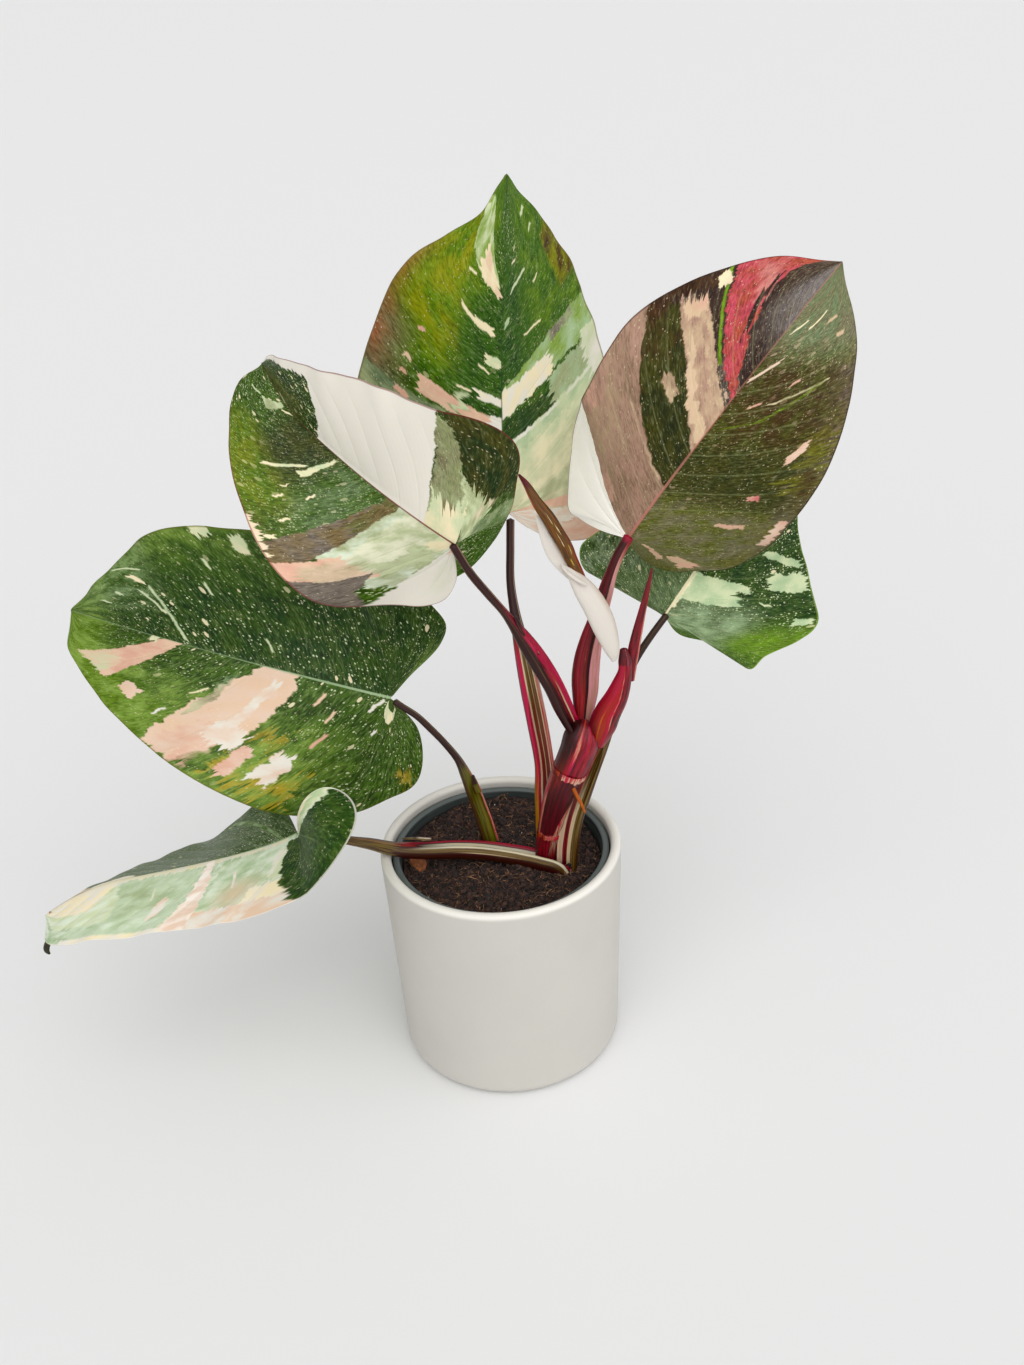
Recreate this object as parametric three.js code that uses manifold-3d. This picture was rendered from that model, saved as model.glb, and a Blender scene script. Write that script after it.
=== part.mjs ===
// Potted red medusa philodendron, a variegated aroid in a plastic nursery pot inside a ceramic cover pot.
// Millimetres, +Z up. The origin is the centre of the cover pot's underside, and -Y faces the viewer.

import * as THREE from "three";
import { mergeVertices } from "three/addons/utils/BufferGeometryUtils.js";
import Module from "manifold-3d";

const wasm = await Module();
wasm.setup();

const DEG = Math.PI / 180;
const GAP = 0.35;

const COVER = {
  height: 137, rimRadius: 70, baseRadius: 66.2, wall: 6, floor: 8, footRound: 6.4, lipRound: 3,
  insideTaper: 1, insideRound: 5, sides: 40,
};
const NURSERY = {
  height: 124, topRadius: 60.6, baseRadius: 49, wall: 1.4, rimWidth: 2.6, rimDepth: 4.5, rimRound: 0.9,
  sides: 36,
};
const SOIL = { edgeHeight: 122, crownHeight: 126, backRise: 6, lump: 1.6, rings: 7, seed: 5817 };
const BARK = { at: [-49, -1, 125.2], size: [9, 15, 4], turn: 20, tilt: 12 };

const COLOURS = {
  ceramic: 0xeceae4, plastic: 0x3a4240, soil: 0x2a1c15, bark: 0x9a5a30, stem: 0x5a1420, sheath: 0x9c1f38,
  petiole: 0x4a2a22, pinkPetiole: 0x8a3040, root: 0xb8743c, green: 0x3c6132, paleGreen: 0x8fa67c,
  roseBrown: 0x7c5a48, white: 0xe6ded4, spear: 0x8e1626,
};

// Each blade is drawn flat, x along the midrib from the petiole and y to one side, then bent.
// left and right are its half outlines. arch, neck and droop bend the midrib, fold and curl turn
// the halves up or down, and turn lifts the lobes behind the petiole.
const BLADES = {
  top: {
    colour: COLOURS.green, base: [16, 61, 315], tip: [25, 55, 493], roll: 41, arch: -8, neck: -2,
    droop: 7, twist: 10, foldBase: [0, -2], fold: [-10, -4], curl: [-39, 9], turn: [0, 0], wave: 0.8,
    left: [[-14, 12], [-29, 35], [-26, 65], [9, 79], [60, 82], [113, 66], [139, 53], [152, 33],
      [162, 15]],
    right: [[-13, 14], [-26, 36], [-26, 64], [9, 80], [59, 79], [112, 59], [143, 38]],
  },
  left: {
    colour: COLOURS.paleGreen, base: [-12, -14, 329], tip: [-103, 34, 414], roll: -50, arch: 10, neck: 1,
    droop: 22, twist: -1, foldBase: [-10, -12], fold: [40, 12], curl: [16, -18], turn: [0, 0], wave: 0.6,
    left: [[-3, 8], [-12, 27], [-11, 47], [8, 64], [44, 66], [83, 55], [130, 20]],
    right: [[-1, 9], [-13, 27], [-8, 46], [5, 63], [46, 64], [81, 53], [126, 18]],
  },
  right: {
    colour: COLOURS.roseBrown, base: [77, 8, 318], tip: [175, -9, 455], roll: -4, arch: 20, neck: 9,
    droop: 5, twist: 1, foldBase: [-21, -34], fold: [2, -11], curl: [-3, 6], turn: [6, -15], wave: 0.7,
    left: [[-13, 14], [-25, 31], [-24, 43], [9, 61], [53, 61], [103, 60], [151, 32]],
    right: [[-18, 12], [-24, 26], [-17, 40], [1, 62], [55, 61], [103, 55], [148, 32]],
  },
  back: {
    colour: COLOURS.green, base: [98, 21, 265], tip: [186, 95, 343], roll: -17, arch: 9, neck: 6,
    droop: -1, twist: -6, foldBase: [-1, -13], fold: [13, -17], curl: [16, 9], turn: [4, -28], wave: 0.8,
    left: [[2, 14], [3, 34], [-2, 50], [7, 60], [20, 56], [40, 48], [68, 42], [96, 29], [120, 14]],
    right: [[-4, 13], [3, 35], [0, 54], [12, 58], [30, 68], [45, 71], [60, 58], [84, 34], [114, 13]],
  },
  wide: {
    colour: COLOURS.green, base: [-56, 18, 226], tip: [-239, 66, 270], roll: -2, arch: 23, neck: 9,
    droop: 5, twist: 2, foldBase: [-10, -30], fold: [21, 17], curl: [-11, 6], turn: [5, -4], wave: 1.0,
    left: [[-22, 15], [-33, 42], [-22, 58], [7, 78], [72, 74], [124, 57], [183, 24]],
    right: [[-11, 16], [-29, 41], [-26, 59], [9, 77], [68, 77], [137, 62], [173, 28]],
  },
  low: {
    colour: COLOURS.paleGreen, base: [-116, -3, 153], tip: [-262, -24, 121], roll: 70, arch: -1, neck: -17,
    droop: 30, twist: 3, foldBase: [-6, 13], fold: [-12, -18], curl: [-3, 13], turn: [86, 60], wave: 0.5,
    left: [[-18, 14], [-51, 38], [-53, 56], [-24, 62], [24, 61], [68, 53], [109, 49], [146, 32]],
    right: [[6, 11], [8, 25], [8, 34], [14, 45], [37, 50], [73, 55], [111, 26], [140, 13]],
  },
};
const BLADE = {
  thickness: 0.8, ribDepth: 1.6, ribWidth: 3, veinLean: 0.55, lobeRows: 8, midribRows: 15, bendSteps: 50,
  columns: [0.05, 0.16, 0.36, 0.58, 0.8, 1], waves: 5, towardsViewer: [0, -0.875, 0.483],
};

// A stalk is swept along its points, each with its half width. Its sheath is open along the side that
// face points to, up to the sheath fraction of its length, and ends in a free tip, the spur.
const STALKS = {
  petiole_top: {
    colour: COLOURS.pinkPetiole, face: [0.3, -1, 0], sheath: 0.55, depth: 0.7,
    points: [[27, 0, 98, 6.6], [27.5, 3, 137, 6.9], [28, 7, 163, 6.8], [28, 12, 181, 5.8], [25.5, 17, 203, 6],
      [22.5, 23, 224, 5.8], [19.5, 30, 244, 4.8], [16.5, 37, 264, 3], [15, 44, 281, 2.4], [16, 51, 298, 2.3],
      [17, 58, 312, 2.3]],
  },
  petiole_wide: {
    colour: COLOURS.petiole, face: [0.4, -1, 0.2], sheath: 0.45, depth: 0.7,
    points: [[0, 6, 98, 4.8], [-4.5, 9, 122, 5], [-8, 12, 139, 4.9], [-11, 14, 151, 4.6], [-14, 15, 162, 4.4],
      [-17.5, 16, 173, 3.4], [-21.5, 17, 183.5, 2.3], [-28, 17, 194.5, 2], [-35, 17.5, 204, 2],
      [-42.5, 17.5, 213.5, 1.9], [-50, 17.5, 220, 1.9], [-54, 18, 223.5, 1.9]],
    spur: [[-11, 12, 163, 2.4], [-12.5, 12, 169, 1.9], [-13.5, 12, 175, 0.9]],
  },
  petiole_back: {
    colour: COLOURS.petiole, face: [-0.6, -1, 0.4], sheath: 0.62, depth: 0.7,
    points: [[37, -13, 98, 6], [37.5, -13, 125, 6.2], [39, -11.5, 142, 6.5], [42.5, -10, 158, 6.3],
      [48, -8, 173, 6], [54, -5, 186, 5], [60, -1.5, 198, 4], [65, 2, 209, 3.2], [73, 8, 227, 2.4],
      [80, 12, 242, 2.2], [88.5, 15.5, 254, 2], [99, 21, 265.5, 1.9]],
  },
  petiole_low: {
    colour: COLOURS.petiole, face: [0, 0.3, 1], sheath: 0.6, depth: 0.92,
    points: [[39, -13, 114, 6], [32.5, -12.5, 125.5, 7], [22, -10, 129, 7.2], [5, -6.5, 132, 6.8],
      [-12, -4, 134, 6.7], [-26, -4.5, 136, 6.4], [-41, -6, 137.5, 6], [-52, -8, 139.5, 4.9],
      [-60.5, -8.5, 141.3, 4.2], [-67, -7, 142.2, 3.9], [-75, -5, 143.6, 3.4], [-87, -4.5, 146.5, 2.6],
      [-100, -4.5, 150, 2.3], [-112, -4, 152.5, 2.2]],
    spur: [[-40, -3.5, 143, 2.6], [-48, -4.5, 144.8, 1.9], [-56, -5.5, 146.3, 0.9]],
  },
  petiole_left: {
    colour: COLOURS.petiole, face: [0.8, -0.5, 0.5], sheath: 0.56, depth: 0.7,
    points: [[48, -8, 208, 4.6], [44, -9, 217, 5.4], [39, -10, 230.5, 6.6], [34, -11, 244.5, 6.6],
      [28.5, -11.5, 256.5, 6.4], [20, -12, 273, 4.4], [11.5, -12.5, 288, 2.3], [3, -13, 300.5, 2.2],
      [-5.5, -13.5, 313.5, 2.2], [-13, -13.5, 329, 2.2]],
    spur: [[24, -13, 274, 2.6], [19, -13.5, 283, 1.8], [15, -13.5, 290, 0.9]],
  },
  petiole_right: {
    colour: COLOURS.sheath, face: [0.7, -1, 0], sheath: 0.8, depth: 0.6,
    points: [[50, -1, 209, 5], [51, 0, 219.5, 6.4], [52, 1, 230.5, 8.2], [52.5, 2, 241.5, 8.8],
      [54, 3, 252.5, 8.4], [56.5, 4, 263, 7.2], [60, 5, 273.5, 6.1], [64, 6, 286.5, 4.8], [67.5, 6.5, 298, 3.3],
      [71.5, 7, 308, 2.9], [77.5, 8.4, 318.5, 2.6]],
  },
};
const STEM = {
  colour: COLOURS.stem, face: [0, -1, 0], sheath: 0, depth: 0.94,
  points: [[25, -3, 98, 6.4], [26, -4, 118, 6.4], [26.5, -5, 131.5, 6.6], [28.5, -6, 145, 6.9],
    [31, -7, 159.5, 7.8], [35, -8, 174.5, 9], [39.5, -8.5, 187, 9.5], [43.5, -9, 200, 9.6], [47, -9, 210, 9],
    [50, -8.5, 217, 5.5]],
};
const YOUNG_SHEATH = {
  colour: COLOURS.sheath, face: [0, -1, 0], sheath: 0, depth: 0.9,
  points: [[55, -9, 206, 6.2], [59, -10.5, 216, 7.4], [63, -11.5, 225, 7.3], [67.5, -12, 234, 6.4],
    [70.5, -12.5, 242.5, 5.2], [72.5, -13, 251, 3.7], [72.5, -13, 258, 3.4], [72, -13, 264, 2]],
};
const YOUNG_LEAF = {
  colour: COLOURS.white, face: [0.4, -1, 0.4], sheath: 0, depth: 0.7,
  points: [[69, -17, 259, 1.6], [67, -17.5, 264.5, 3.8], [63.5, -18, 273.5, 5.8], [59.5, -18.5, 285, 6.2],
    [55, -18.5, 296, 5.5], [49.5, -18, 306.5, 5.2], [43, -17, 316.5, 5.6], [39, -16, 326.5, 5],
    [34.5, -15, 336.5, 3.7], [30, -13.5, 346, 2.5], [25.5, -12, 357, 1.5], [22.5, -10, 362.5, 0.7]],
};
const SPEAR = {
  colour: COLOURS.spear, face: [0.3, -1, 0], sheath: 0, depth: 0.6,
  points: [[75.5, -9.5, 243, 2.6], [76.3, -9, 252, 3.3], [77.5, -9, 260, 3.4], [79.5, -8.5, 270, 3],
    [82, -8, 281, 2.3], [84.5, -7, 291, 1.7], [88, -5.5, 306, 0.6]],
};
const AERIAL_ROOT = {
  colour: COLOURS.root, face: [0, -1, 0], sheath: 0, depth: 1,
  points: [[42, -14.5, 182, 1.3], [44, -17, 177.5, 1.4], [46.5, -18.5, 172, 1.2], [48.5, -19, 166, 0.8]],
};
const STALK_SIDES = 12;
const SPUR_SIDES = 6;
const CHANNEL = 0.7;

function random(seed) {
  let state = seed;
  return () => {
    state = (state * 16807) % 2147483647;
    return state / 2147483647;
  };
}

// Solids

function toGeometry(vertices, triangles) {
  const geometry = new THREE.BufferGeometry();
  geometry.setAttribute("position", new THREE.Float32BufferAttribute(vertices.flat(), 3));
  geometry.setIndex(triangles.flat());
  return geometry;
}

function toSolid(geometry) {
  const bare = geometry.clone();
  for (const name of Object.keys(bare.attributes)) {
    if (name !== "position") bare.deleteAttribute(name);
  }
  const merged = mergeVertices(bare, 1e-4);
  return new wasm.Manifold(new wasm.Mesh({
    numProp: 3,
    vertProperties: new Float32Array(merged.attributes.position.array),
    triVerts: new Uint32Array(merged.index.array),
  }));
}

function fromSolid(solid) {
  const mesh = solid.getMesh();
  const geometry = new THREE.BufferGeometry();
  geometry.setAttribute("position", new THREE.BufferAttribute(new Float32Array(mesh.vertProperties), 3));
  geometry.setIndex(new THREE.BufferAttribute(new Uint32Array(mesh.triVerts), 1));
  return geometry;
}

function largestBody(solid) {
  const bodies = solid.decompose();
  bodies.sort((a, b) => b.volume() - a.volume());
  return bodies[0];
}

// Pots

function arcPoints(cx, cy, radius, from, to, steps) {
  const points = [];
  for (let i = 0; i <= steps; i += 1) {
    const angle = (from + ((to - from) * i) / steps) * DEG;
    points.push(new THREE.Vector2(cx + radius * Math.cos(angle), cy + radius * Math.sin(angle)));
  }
  return points;
}

function standUp(geometry) {
  return geometry.rotateX(Math.PI / 2);
}

function coverPot() {
  const { height, rimRadius, baseRadius, wall, floor, footRound, lipRound, insideTaper, insideRound } = COVER;
  const inside = baseRadius - wall - insideTaper;
  const profile = [
    new THREE.Vector2(0, 0),
    ...arcPoints(baseRadius - footRound, footRound, footRound, -90, 0, 4),
    ...arcPoints(rimRadius - lipRound, height - lipRound, lipRound, 0, 180, 6),
    ...arcPoints(inside - insideRound, floor + insideRound, insideRound, 0, -90, 3),
    new THREE.Vector2(0, floor),
  ];
  return standUp(new THREE.LatheGeometry(profile, COVER.sides));
}

function nurseryRadius(z) {
  const { height, topRadius, baseRadius } = NURSERY;
  const foot = COVER.floor + GAP;
  return baseRadius + ((topRadius - baseRadius) * (z - foot)) / height;
}

function nurseryPot() {
  const { height, topRadius, baseRadius, wall, rimWidth, rimDepth, rimRound } = NURSERY;
  const foot = COVER.floor + GAP;
  const top = foot + height;
  const lip = topRadius + rimWidth;
  const profile = [
    new THREE.Vector2(0, foot),
    new THREE.Vector2(baseRadius, foot),
    new THREE.Vector2(nurseryRadius(top - rimDepth), top - rimDepth),
    new THREE.Vector2(lip - rimRound, top - rimDepth),
    new THREE.Vector2(lip, top - rimDepth + rimRound),
    new THREE.Vector2(lip, top - rimRound),
    new THREE.Vector2(lip - rimRound, top),
    new THREE.Vector2(topRadius - wall + rimRound, top),
    new THREE.Vector2(topRadius - wall, top - rimRound),
    new THREE.Vector2(baseRadius - wall, foot + wall),
    new THREE.Vector2(0, foot + wall),
  ];
  return standUp(new THREE.LatheGeometry(profile, NURSERY.sides));
}

// Soil

function soilHeight(x, y, wobble) {
  const radius = nurseryRadius(SOIL.edgeHeight);
  const reach = Math.min(1, Math.hypot(x, y) / radius);
  const dome = SOIL.edgeHeight + (SOIL.crownHeight - SOIL.edgeHeight) * (1 - reach * reach);
  const rise = (SOIL.backRise * Math.max(0, y)) / radius;
  return dome + rise + SOIL.lump * wobble;
}

function soilBlock() {
  const draw = random(SOIL.seed);
  const sides = NURSERY.sides;
  const bottom = COVER.floor + GAP + NURSERY.wall + GAP;
  const inset = NURSERY.wall + 2 * GAP;
  const vertices = [[0, 0, bottom], [0, 0, soilHeight(0, 0, draw() - 0.5)]];
  const rings = [];
  const addRing = (radius, height) => {
    const ring = [];
    for (let k = 0; k < sides; k += 1) {
      const angle = (2 * Math.PI * k) / sides;
      const x = radius * Math.cos(angle);
      const y = radius * Math.sin(angle);
      ring.push(vertices.length);
      vertices.push([x, y, height(x, y)]);
    }
    rings.push(ring);
  };
  addRing(nurseryRadius(bottom) - inset, () => bottom);
  const edge = nurseryRadius(SOIL.edgeHeight) - inset;
  for (let i = 0; i < SOIL.rings; i += 1) {
    const wobble = i === 0 ? 0 : 1;
    addRing((edge * (SOIL.rings - i)) / SOIL.rings, (x, y) => soilHeight(x, y, wobble * (draw() - 0.5) * 2));
  }
  const triangles = [];
  for (let k = 0; k < sides; k += 1) {
    const next = (k + 1) % sides;
    triangles.push([0, rings[0][next], rings[0][k]]);
    for (let i = 0; i + 1 < rings.length; i += 1) {
      const [a, b, c, d] = [rings[i][k], rings[i][next], rings[i + 1][next], rings[i + 1][k]];
      triangles.push([a, b, c], [a, c, d]);
    }
    const last = rings[rings.length - 1];
    triangles.push([last[k], last[next], 1]);
  }
  return toGeometry(vertices, triangles);
}

function barkChip(grow) {
  const [length, width, thick] = BARK.size;
  const chip = new THREE.SphereGeometry(0.5, 8, 5);
  chip.scale(length + 2 * grow, width + 2 * grow, thick + 2 * grow);
  chip.rotateX(BARK.tilt * DEG);
  chip.rotateZ(BARK.turn * DEG);
  return chip.translate(...BARK.at);
}

// Stalks and stems

// Loops of points, each ring the same length, joined and capped.
function skin(rings) {
  const size = rings[0].length;
  const vertices = rings.flat();
  const triangles = [];
  for (let i = 0; i + 1 < rings.length; i += 1) {
    for (let k = 0; k < size; k += 1) {
      const next = (k + 1) % size;
      const [a, b] = [i * size + k, i * size + next];
      const [c, d] = [b + size, a + size];
      triangles.push([a, b, c], [a, c, d]);
    }
  }
  const centre = (ring) => [0, 1, 2].map((axis) => ring.reduce((sum, p) => sum + p[axis], 0) / size);
  const first = vertices.push(centre(rings[0])) - 1;
  const last = vertices.push(centre(rings[rings.length - 1])) - 1;
  const end = (rings.length - 1) * size;
  for (let k = 0; k < size; k += 1) {
    const next = (k + 1) % size;
    triangles.push([first, next, k], [last, end + k, end + next]);
  }
  return toGeometry(vertices, triangles);
}

// Rings across a curve through points that end in a half width; grow swells the shape all round.
function crossRings(shape, points, sides, grow) {
  const curve = new THREE.CatmullRomCurve3(points.map(([x, y, z]) => new THREE.Vector3(x, y, z)));
  const spans = points.length - 1;
  const steps = Math.round(spans * 1.5);
  const face = new THREE.Vector3(...shape.face);
  const rings = [];
  for (let i = 0; i <= steps; i += 1) {
    const t = i / steps;
    const low = Math.min(spans - 1, Math.floor(t * spans));
    const half = THREE.MathUtils.lerp(points[low][3], points[low + 1][3], t * spans - low);
    const share = 1 - THREE.MathUtils.smoothstep(t, shape.sheath - 0.15, shape.sheath);
    const deep = half * THREE.MathUtils.lerp(1, shape.depth, share);
    const along = curve.getTangent(t);
    const up = face.clone().addScaledVector(along, -face.dot(along)).normalize();
    const side = new THREE.Vector3().crossVectors(up, along);
    const centre = curve.getPoint(t);
    if (i === 0) centre.addScaledVector(along, -grow);
    if (i === steps) centre.addScaledVector(along, grow);
    const ring = [];
    for (let k = 0; k < sides; k += 1) {
      const angle = (2 * Math.PI * k) / sides;
      const channel = shape.sheath > 0 ? CHANNEL * share * deep * Math.max(0, Math.sin(angle)) ** 4 : 0;
      ring.push(centre.clone()
        .addScaledVector(side, (half + grow) * Math.cos(angle))
        .addScaledVector(up, (deep + grow) * Math.sin(angle) - channel)
        .toArray());
    }
    rings.push(ring);
  }
  return rings;
}

function stalkSolid(shape, grow = 0) {
  const body = toSolid(skin(crossRings(shape, shape.points, STALK_SIDES, grow)));
  if (!shape.spur) return body;
  return body.add(toSolid(skin(crossRings({ ...shape, sheath: 0 }, shape.spur, SPUR_SIDES, grow))));
}

// Blades

function outlineAt(points, t) {
  const last = points.length - 1;
  const place = Math.min(last - 1e-9, Math.max(0, t * last));
  const i = Math.floor(place);
  const f = place - i;
  const at = (k) => {
    if (k < 0) return [2 * points[0][0] - points[1][0], 2 * points[0][1] - points[1][1]];
    if (k > last) return [2 * points[last][0] - points[last - 1][0], 2 * points[last][1] - points[last - 1][1]];
    return points[k];
  };
  const [p0, p1, p2, p3] = [at(i - 1), at(i), at(i + 1), at(i + 2)];
  return [0, 1].map((axis) => 0.5 * (2 * p1[axis] + (p2[axis] - p0[axis]) * f
    + (2 * p0[axis] - 5 * p1[axis] + 4 * p2[axis] - p3[axis]) * f * f
    + (3 * p1[axis] - p0[axis] - 3 * p2[axis] + p3[axis]) * f * f * f));
}

// The midrib's bend as a table of places and slopes over a chord of length 1.
function midribBend(blade) {
  const pitch = (s) => (blade.neck * Math.exp(-s / 0.15) + blade.arch * (1 - 2 * s)
    - blade.droop * Math.max(0, (s - 0.65) / 0.35)) * DEG;
  const rows = [{ s: 0, x: 0, z: 0, pitch: pitch(0) }];
  for (let i = 1; i <= BLADE.bendSteps + 1; i += 1) {
    const s = i / BLADE.bendSteps;
    const before = rows[i - 1];
    const ds = s - before.s;
    const p = pitch(s);
    rows.push({
      s, pitch: p,
      x: before.x + (ds * (Math.cos(p) + Math.cos(before.pitch))) / 2,
      z: before.z + (ds * (Math.sin(p) + Math.sin(before.pitch))) / 2,
    });
  }
  const { x: ex, z: ez } = rows[BLADE.bendSteps];
  const chord = Math.hypot(ex, ez);
  const tilt = Math.atan2(ez, ex);
  const [c, sn] = [Math.cos(-tilt), Math.sin(-tilt)];
  const table = rows.map((r) => ({
    s: r.s, x: (c * r.x - sn * r.z) / chord, z: (sn * r.x + c * r.z) / chord, pitch: r.pitch - tilt,
  }));
  return { table, chord };
}

function bladeFrame(blade) {
  const base = new THREE.Vector3(...blade.base);
  const along = new THREE.Vector3(...blade.tip).sub(base);
  const length = along.length();
  along.normalize();
  const viewer = new THREE.Vector3(...BLADE.towardsViewer).normalize();
  const normal = viewer.addScaledVector(along, -viewer.dot(along)).normalize();
  const across = new THREE.Vector3().crossVectors(normal, along);
  const [c, s] = [Math.cos(blade.roll * DEG), Math.sin(blade.roll * DEG)];
  const side = across.clone().multiplyScalar(c).addScaledVector(normal, s);
  const face = normal.clone().multiplyScalar(c).addScaledVector(across, -s);
  return { base, along, side, face, length };
}

// Flat blade coordinates to a place in space; hand is 0 on the left half and 1 on the right.
function bendBlade(blade) {
  const frame = bladeFrame(blade);
  const { table, chord } = midribBend(blade);
  const flat = frame.length / chord;
  return (x, y, hand) => {
    const s = THREE.MathUtils.clamp(x / flat, 0, 1.02);
    const low = Math.min(table.length - 2, Math.floor(s * BLADE.bendSteps));
    const mix = s * BLADE.bendSteps - low;
    const row = (key) => THREE.MathUtils.lerp(table[low][key], table[low + 1][key], mix);
    const pitch = row("pitch");
    const rise = THREE.MathUtils.smoothstep(s, 0, 0.45);
    const fold = THREE.MathUtils.lerp(blade.foldBase[hand], blade.fold[hand], rise) * DEG;
    const curl = ((blade.curl[hand] + 1e-3) * DEG) / (0.4 * flat);
    const reach = Math.abs(y);
    let across = (Math.sin(fold + curl * reach) - Math.sin(fold)) / curl;
    let up = (Math.cos(fold) - Math.cos(fold + curl * reach)) / curl;
    if (hand === 1) across = -across;
    const twist = blade.twist * DEG * (s - 0.4);
    [across, up] = [
      across * Math.cos(twist) - up * Math.sin(twist),
      across * Math.sin(twist) + up * Math.cos(twist),
    ];
    const back = Math.max(0, -x);
    const turn = blade.turn[hand] * DEG * Math.max(0, 1 - reach / (0.55 * flat)) * (back / (back + 0.02 * flat));
    const behind = -back * Math.cos(turn);
    up += back * Math.sin(turn);
    return frame.base.clone()
      .addScaledVector(frame.along, frame.length * row("x") + behind * Math.cos(pitch) - up * Math.sin(pitch))
      .addScaledVector(frame.side, across)
      .addScaledVector(frame.face, frame.length * row("z") + behind * Math.sin(pitch) + up * Math.cos(pitch));
  };
}

// Rows run from the sinus round the lobe, then along the midrib to the tip: each row is a side vein.
function veinRows(blade, hand, flat) {
  const half = [[0, 0], ...(hand === 0 ? blade.left : blade.right), [flat, 0]];
  const samples = 400;
  const station = (t) => {
    const [x, y] = outlineAt(half, t);
    return x - BLADE.veinLean * y;
  };
  const marginFor = (m) => {
    for (let i = samples - 1; i >= 0; i -= 1) {
      const [a, b] = [station(i / samples), station((i + 1) / samples)];
      if (a <= m && b >= m) return (i + (m - a) / Math.max(1e-9, b - a)) / samples;
    }
    return 0;
  };
  const start = marginFor(0);
  const rows = [];
  for (let i = 1; i <= BLADE.lobeRows; i += 1) {
    rows.push({ from: 0, to: outlineAt(half, (start * i) / BLADE.lobeRows) });
  }
  for (let i = 1; i < BLADE.midribRows; i += 1) {
    const m = (flat * i) / BLADE.midribRows;
    rows.push({ from: m, to: outlineAt(half, marginFor(m)) });
  }
  return rows;
}

function bladeSolid(blade) {
  const place = bendBlade(blade);
  const flat = bladeFrame(blade).length / midribBend(blade).chord;
  const sideVeins = [0, 1].map((hand) => veinRows(blade, hand, flat));
  const upper = [];
  const lower = [];
  const put = (x, y, hand, u, row) => {
    const step = 0.5;
    const ahead = place(x + step, y, hand).sub(place(x - step, y, hand));
    const inner = y < step ? place(x, step, 1 - hand) : place(x, y - step, hand);
    const normal = new THREE.Vector3().crossVectors(ahead, place(x, y + step, hand).sub(inner)).normalize();
    if (hand === 1) normal.negate();
    const wave = Math.sin((2 * Math.PI * BLADE.waves * row) / sideVeins[0].length + hand);
    const point = place(x, y, hand).addScaledVector(normal, blade.wave * u * u * wave);
    const rib = BLADE.ribDepth * Math.exp(-((y / BLADE.ribWidth) ** 2)) * (1 - 0.9 * Math.max(0, x / flat));
    upper.push(point.clone().addScaledVector(normal, BLADE.thickness / 2).toArray());
    lower.push(point.clone().addScaledVector(normal, -BLADE.thickness / 2 - rib).toArray());
    return upper.length - 1;
  };
  const baseIndex = put(0, 0, 0, 0, 0);
  const rib = [];
  for (let i = 0; i < sideVeins[0].length; i += 1) {
    const { from } = sideVeins[0][i];
    rib.push(from === 0 ? baseIndex : put(from, 0, 0, 0, i));
  }
  const tipIndex = put(flat, 0, 0, 0, 0);
  const faces = [];
  const margins = [];
  for (const hand of [0, 1]) {
    const rows = sideVeins[hand].map(({ from, to }, i) => {
      const line = [rib[i]];
      for (const u of BLADE.columns) {
        const bow = 2 * u * (1 - u);
        const x = from * (1 - u) * (1 - u) + to[0] * u * u + bow * (from + 0.25 * (to[0] - from));
        const y = to[1] * (u * u + bow * 0.5);
        line.push(put(x, y, hand, u, i));
      }
      return line;
    });
    const turn = (a, b, c) => faces.push(hand === 0 ? [a, b, c] : [a, c, b]);
    const quad = (a, b, c, d) => {
      if (a !== b) turn(a, b, c);
      turn(a, c, d);
    };
    const first = rows[0];
    for (let k = 1; k + 1 < first.length; k += 1) turn(baseIndex, first[k], first[k + 1]);
    for (let i = 0; i + 1 < rows.length; i += 1) {
      for (let k = 0; k + 1 < rows[i].length; k += 1) {
        quad(rows[i][k], rows[i + 1][k], rows[i + 1][k + 1], rows[i][k + 1]);
      }
    }
    const end = rows[rows.length - 1];
    for (let k = 0; k + 1 < end.length; k += 1) turn(end[k], tipIndex, end[k + 1]);
    const margin = [baseIndex, ...rows.map((line) => line[line.length - 1]), tipIndex];
    margins.push(hand === 0 ? margin : margin.reverse());
  }
  const count = upper.length;
  const triangles = [];
  for (const [a, b, c] of faces) {
    triangles.push([a, b, c], [a + count, c + count, b + count]);
  }
  for (const margin of margins) {
    for (let i = 0; i + 1 < margin.length; i += 1) {
      const [a, b] = [margin[i], margin[i + 1]];
      triangles.push([a, b, b + count], [a, b + count, a + count]);
    }
  }
  return toSolid(toGeometry([...upper, ...lower], triangles));
}

// Assembly

const plant = new THREE.Group();

function addPart(name, geometry, colour, roughness = 0.6) {
  const material = new THREE.MeshStandardMaterial({ color: colour, roughness, metalness: 0 });
  const mesh = new THREE.Mesh(geometry, material);
  mesh.name = name;
  plant.add(mesh);
}

// Each piece is cut back by its neighbours, so that it hugs them with the gap that touching pieces keep.
const pieces = { stem: stalkSolid(STEM) };
let taken = stalkSolid(STEM, GAP);
const lateShapes = {
  ...STALKS, young_sheath: YOUNG_SHEATH, young_leaf: YOUNG_LEAF, spear: SPEAR, aerial_root: AERIAL_ROOT,
};
for (const [name, shape] of Object.entries(lateShapes)) {
  pieces[name] = largestBody(stalkSolid(shape).subtract(taken));
  taken = taken.add(stalkSolid(shape, GAP));
}
const soil = largestBody(toSolid(soilBlock()).subtract(taken).subtract(toSolid(barkChip(GAP))));

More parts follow.
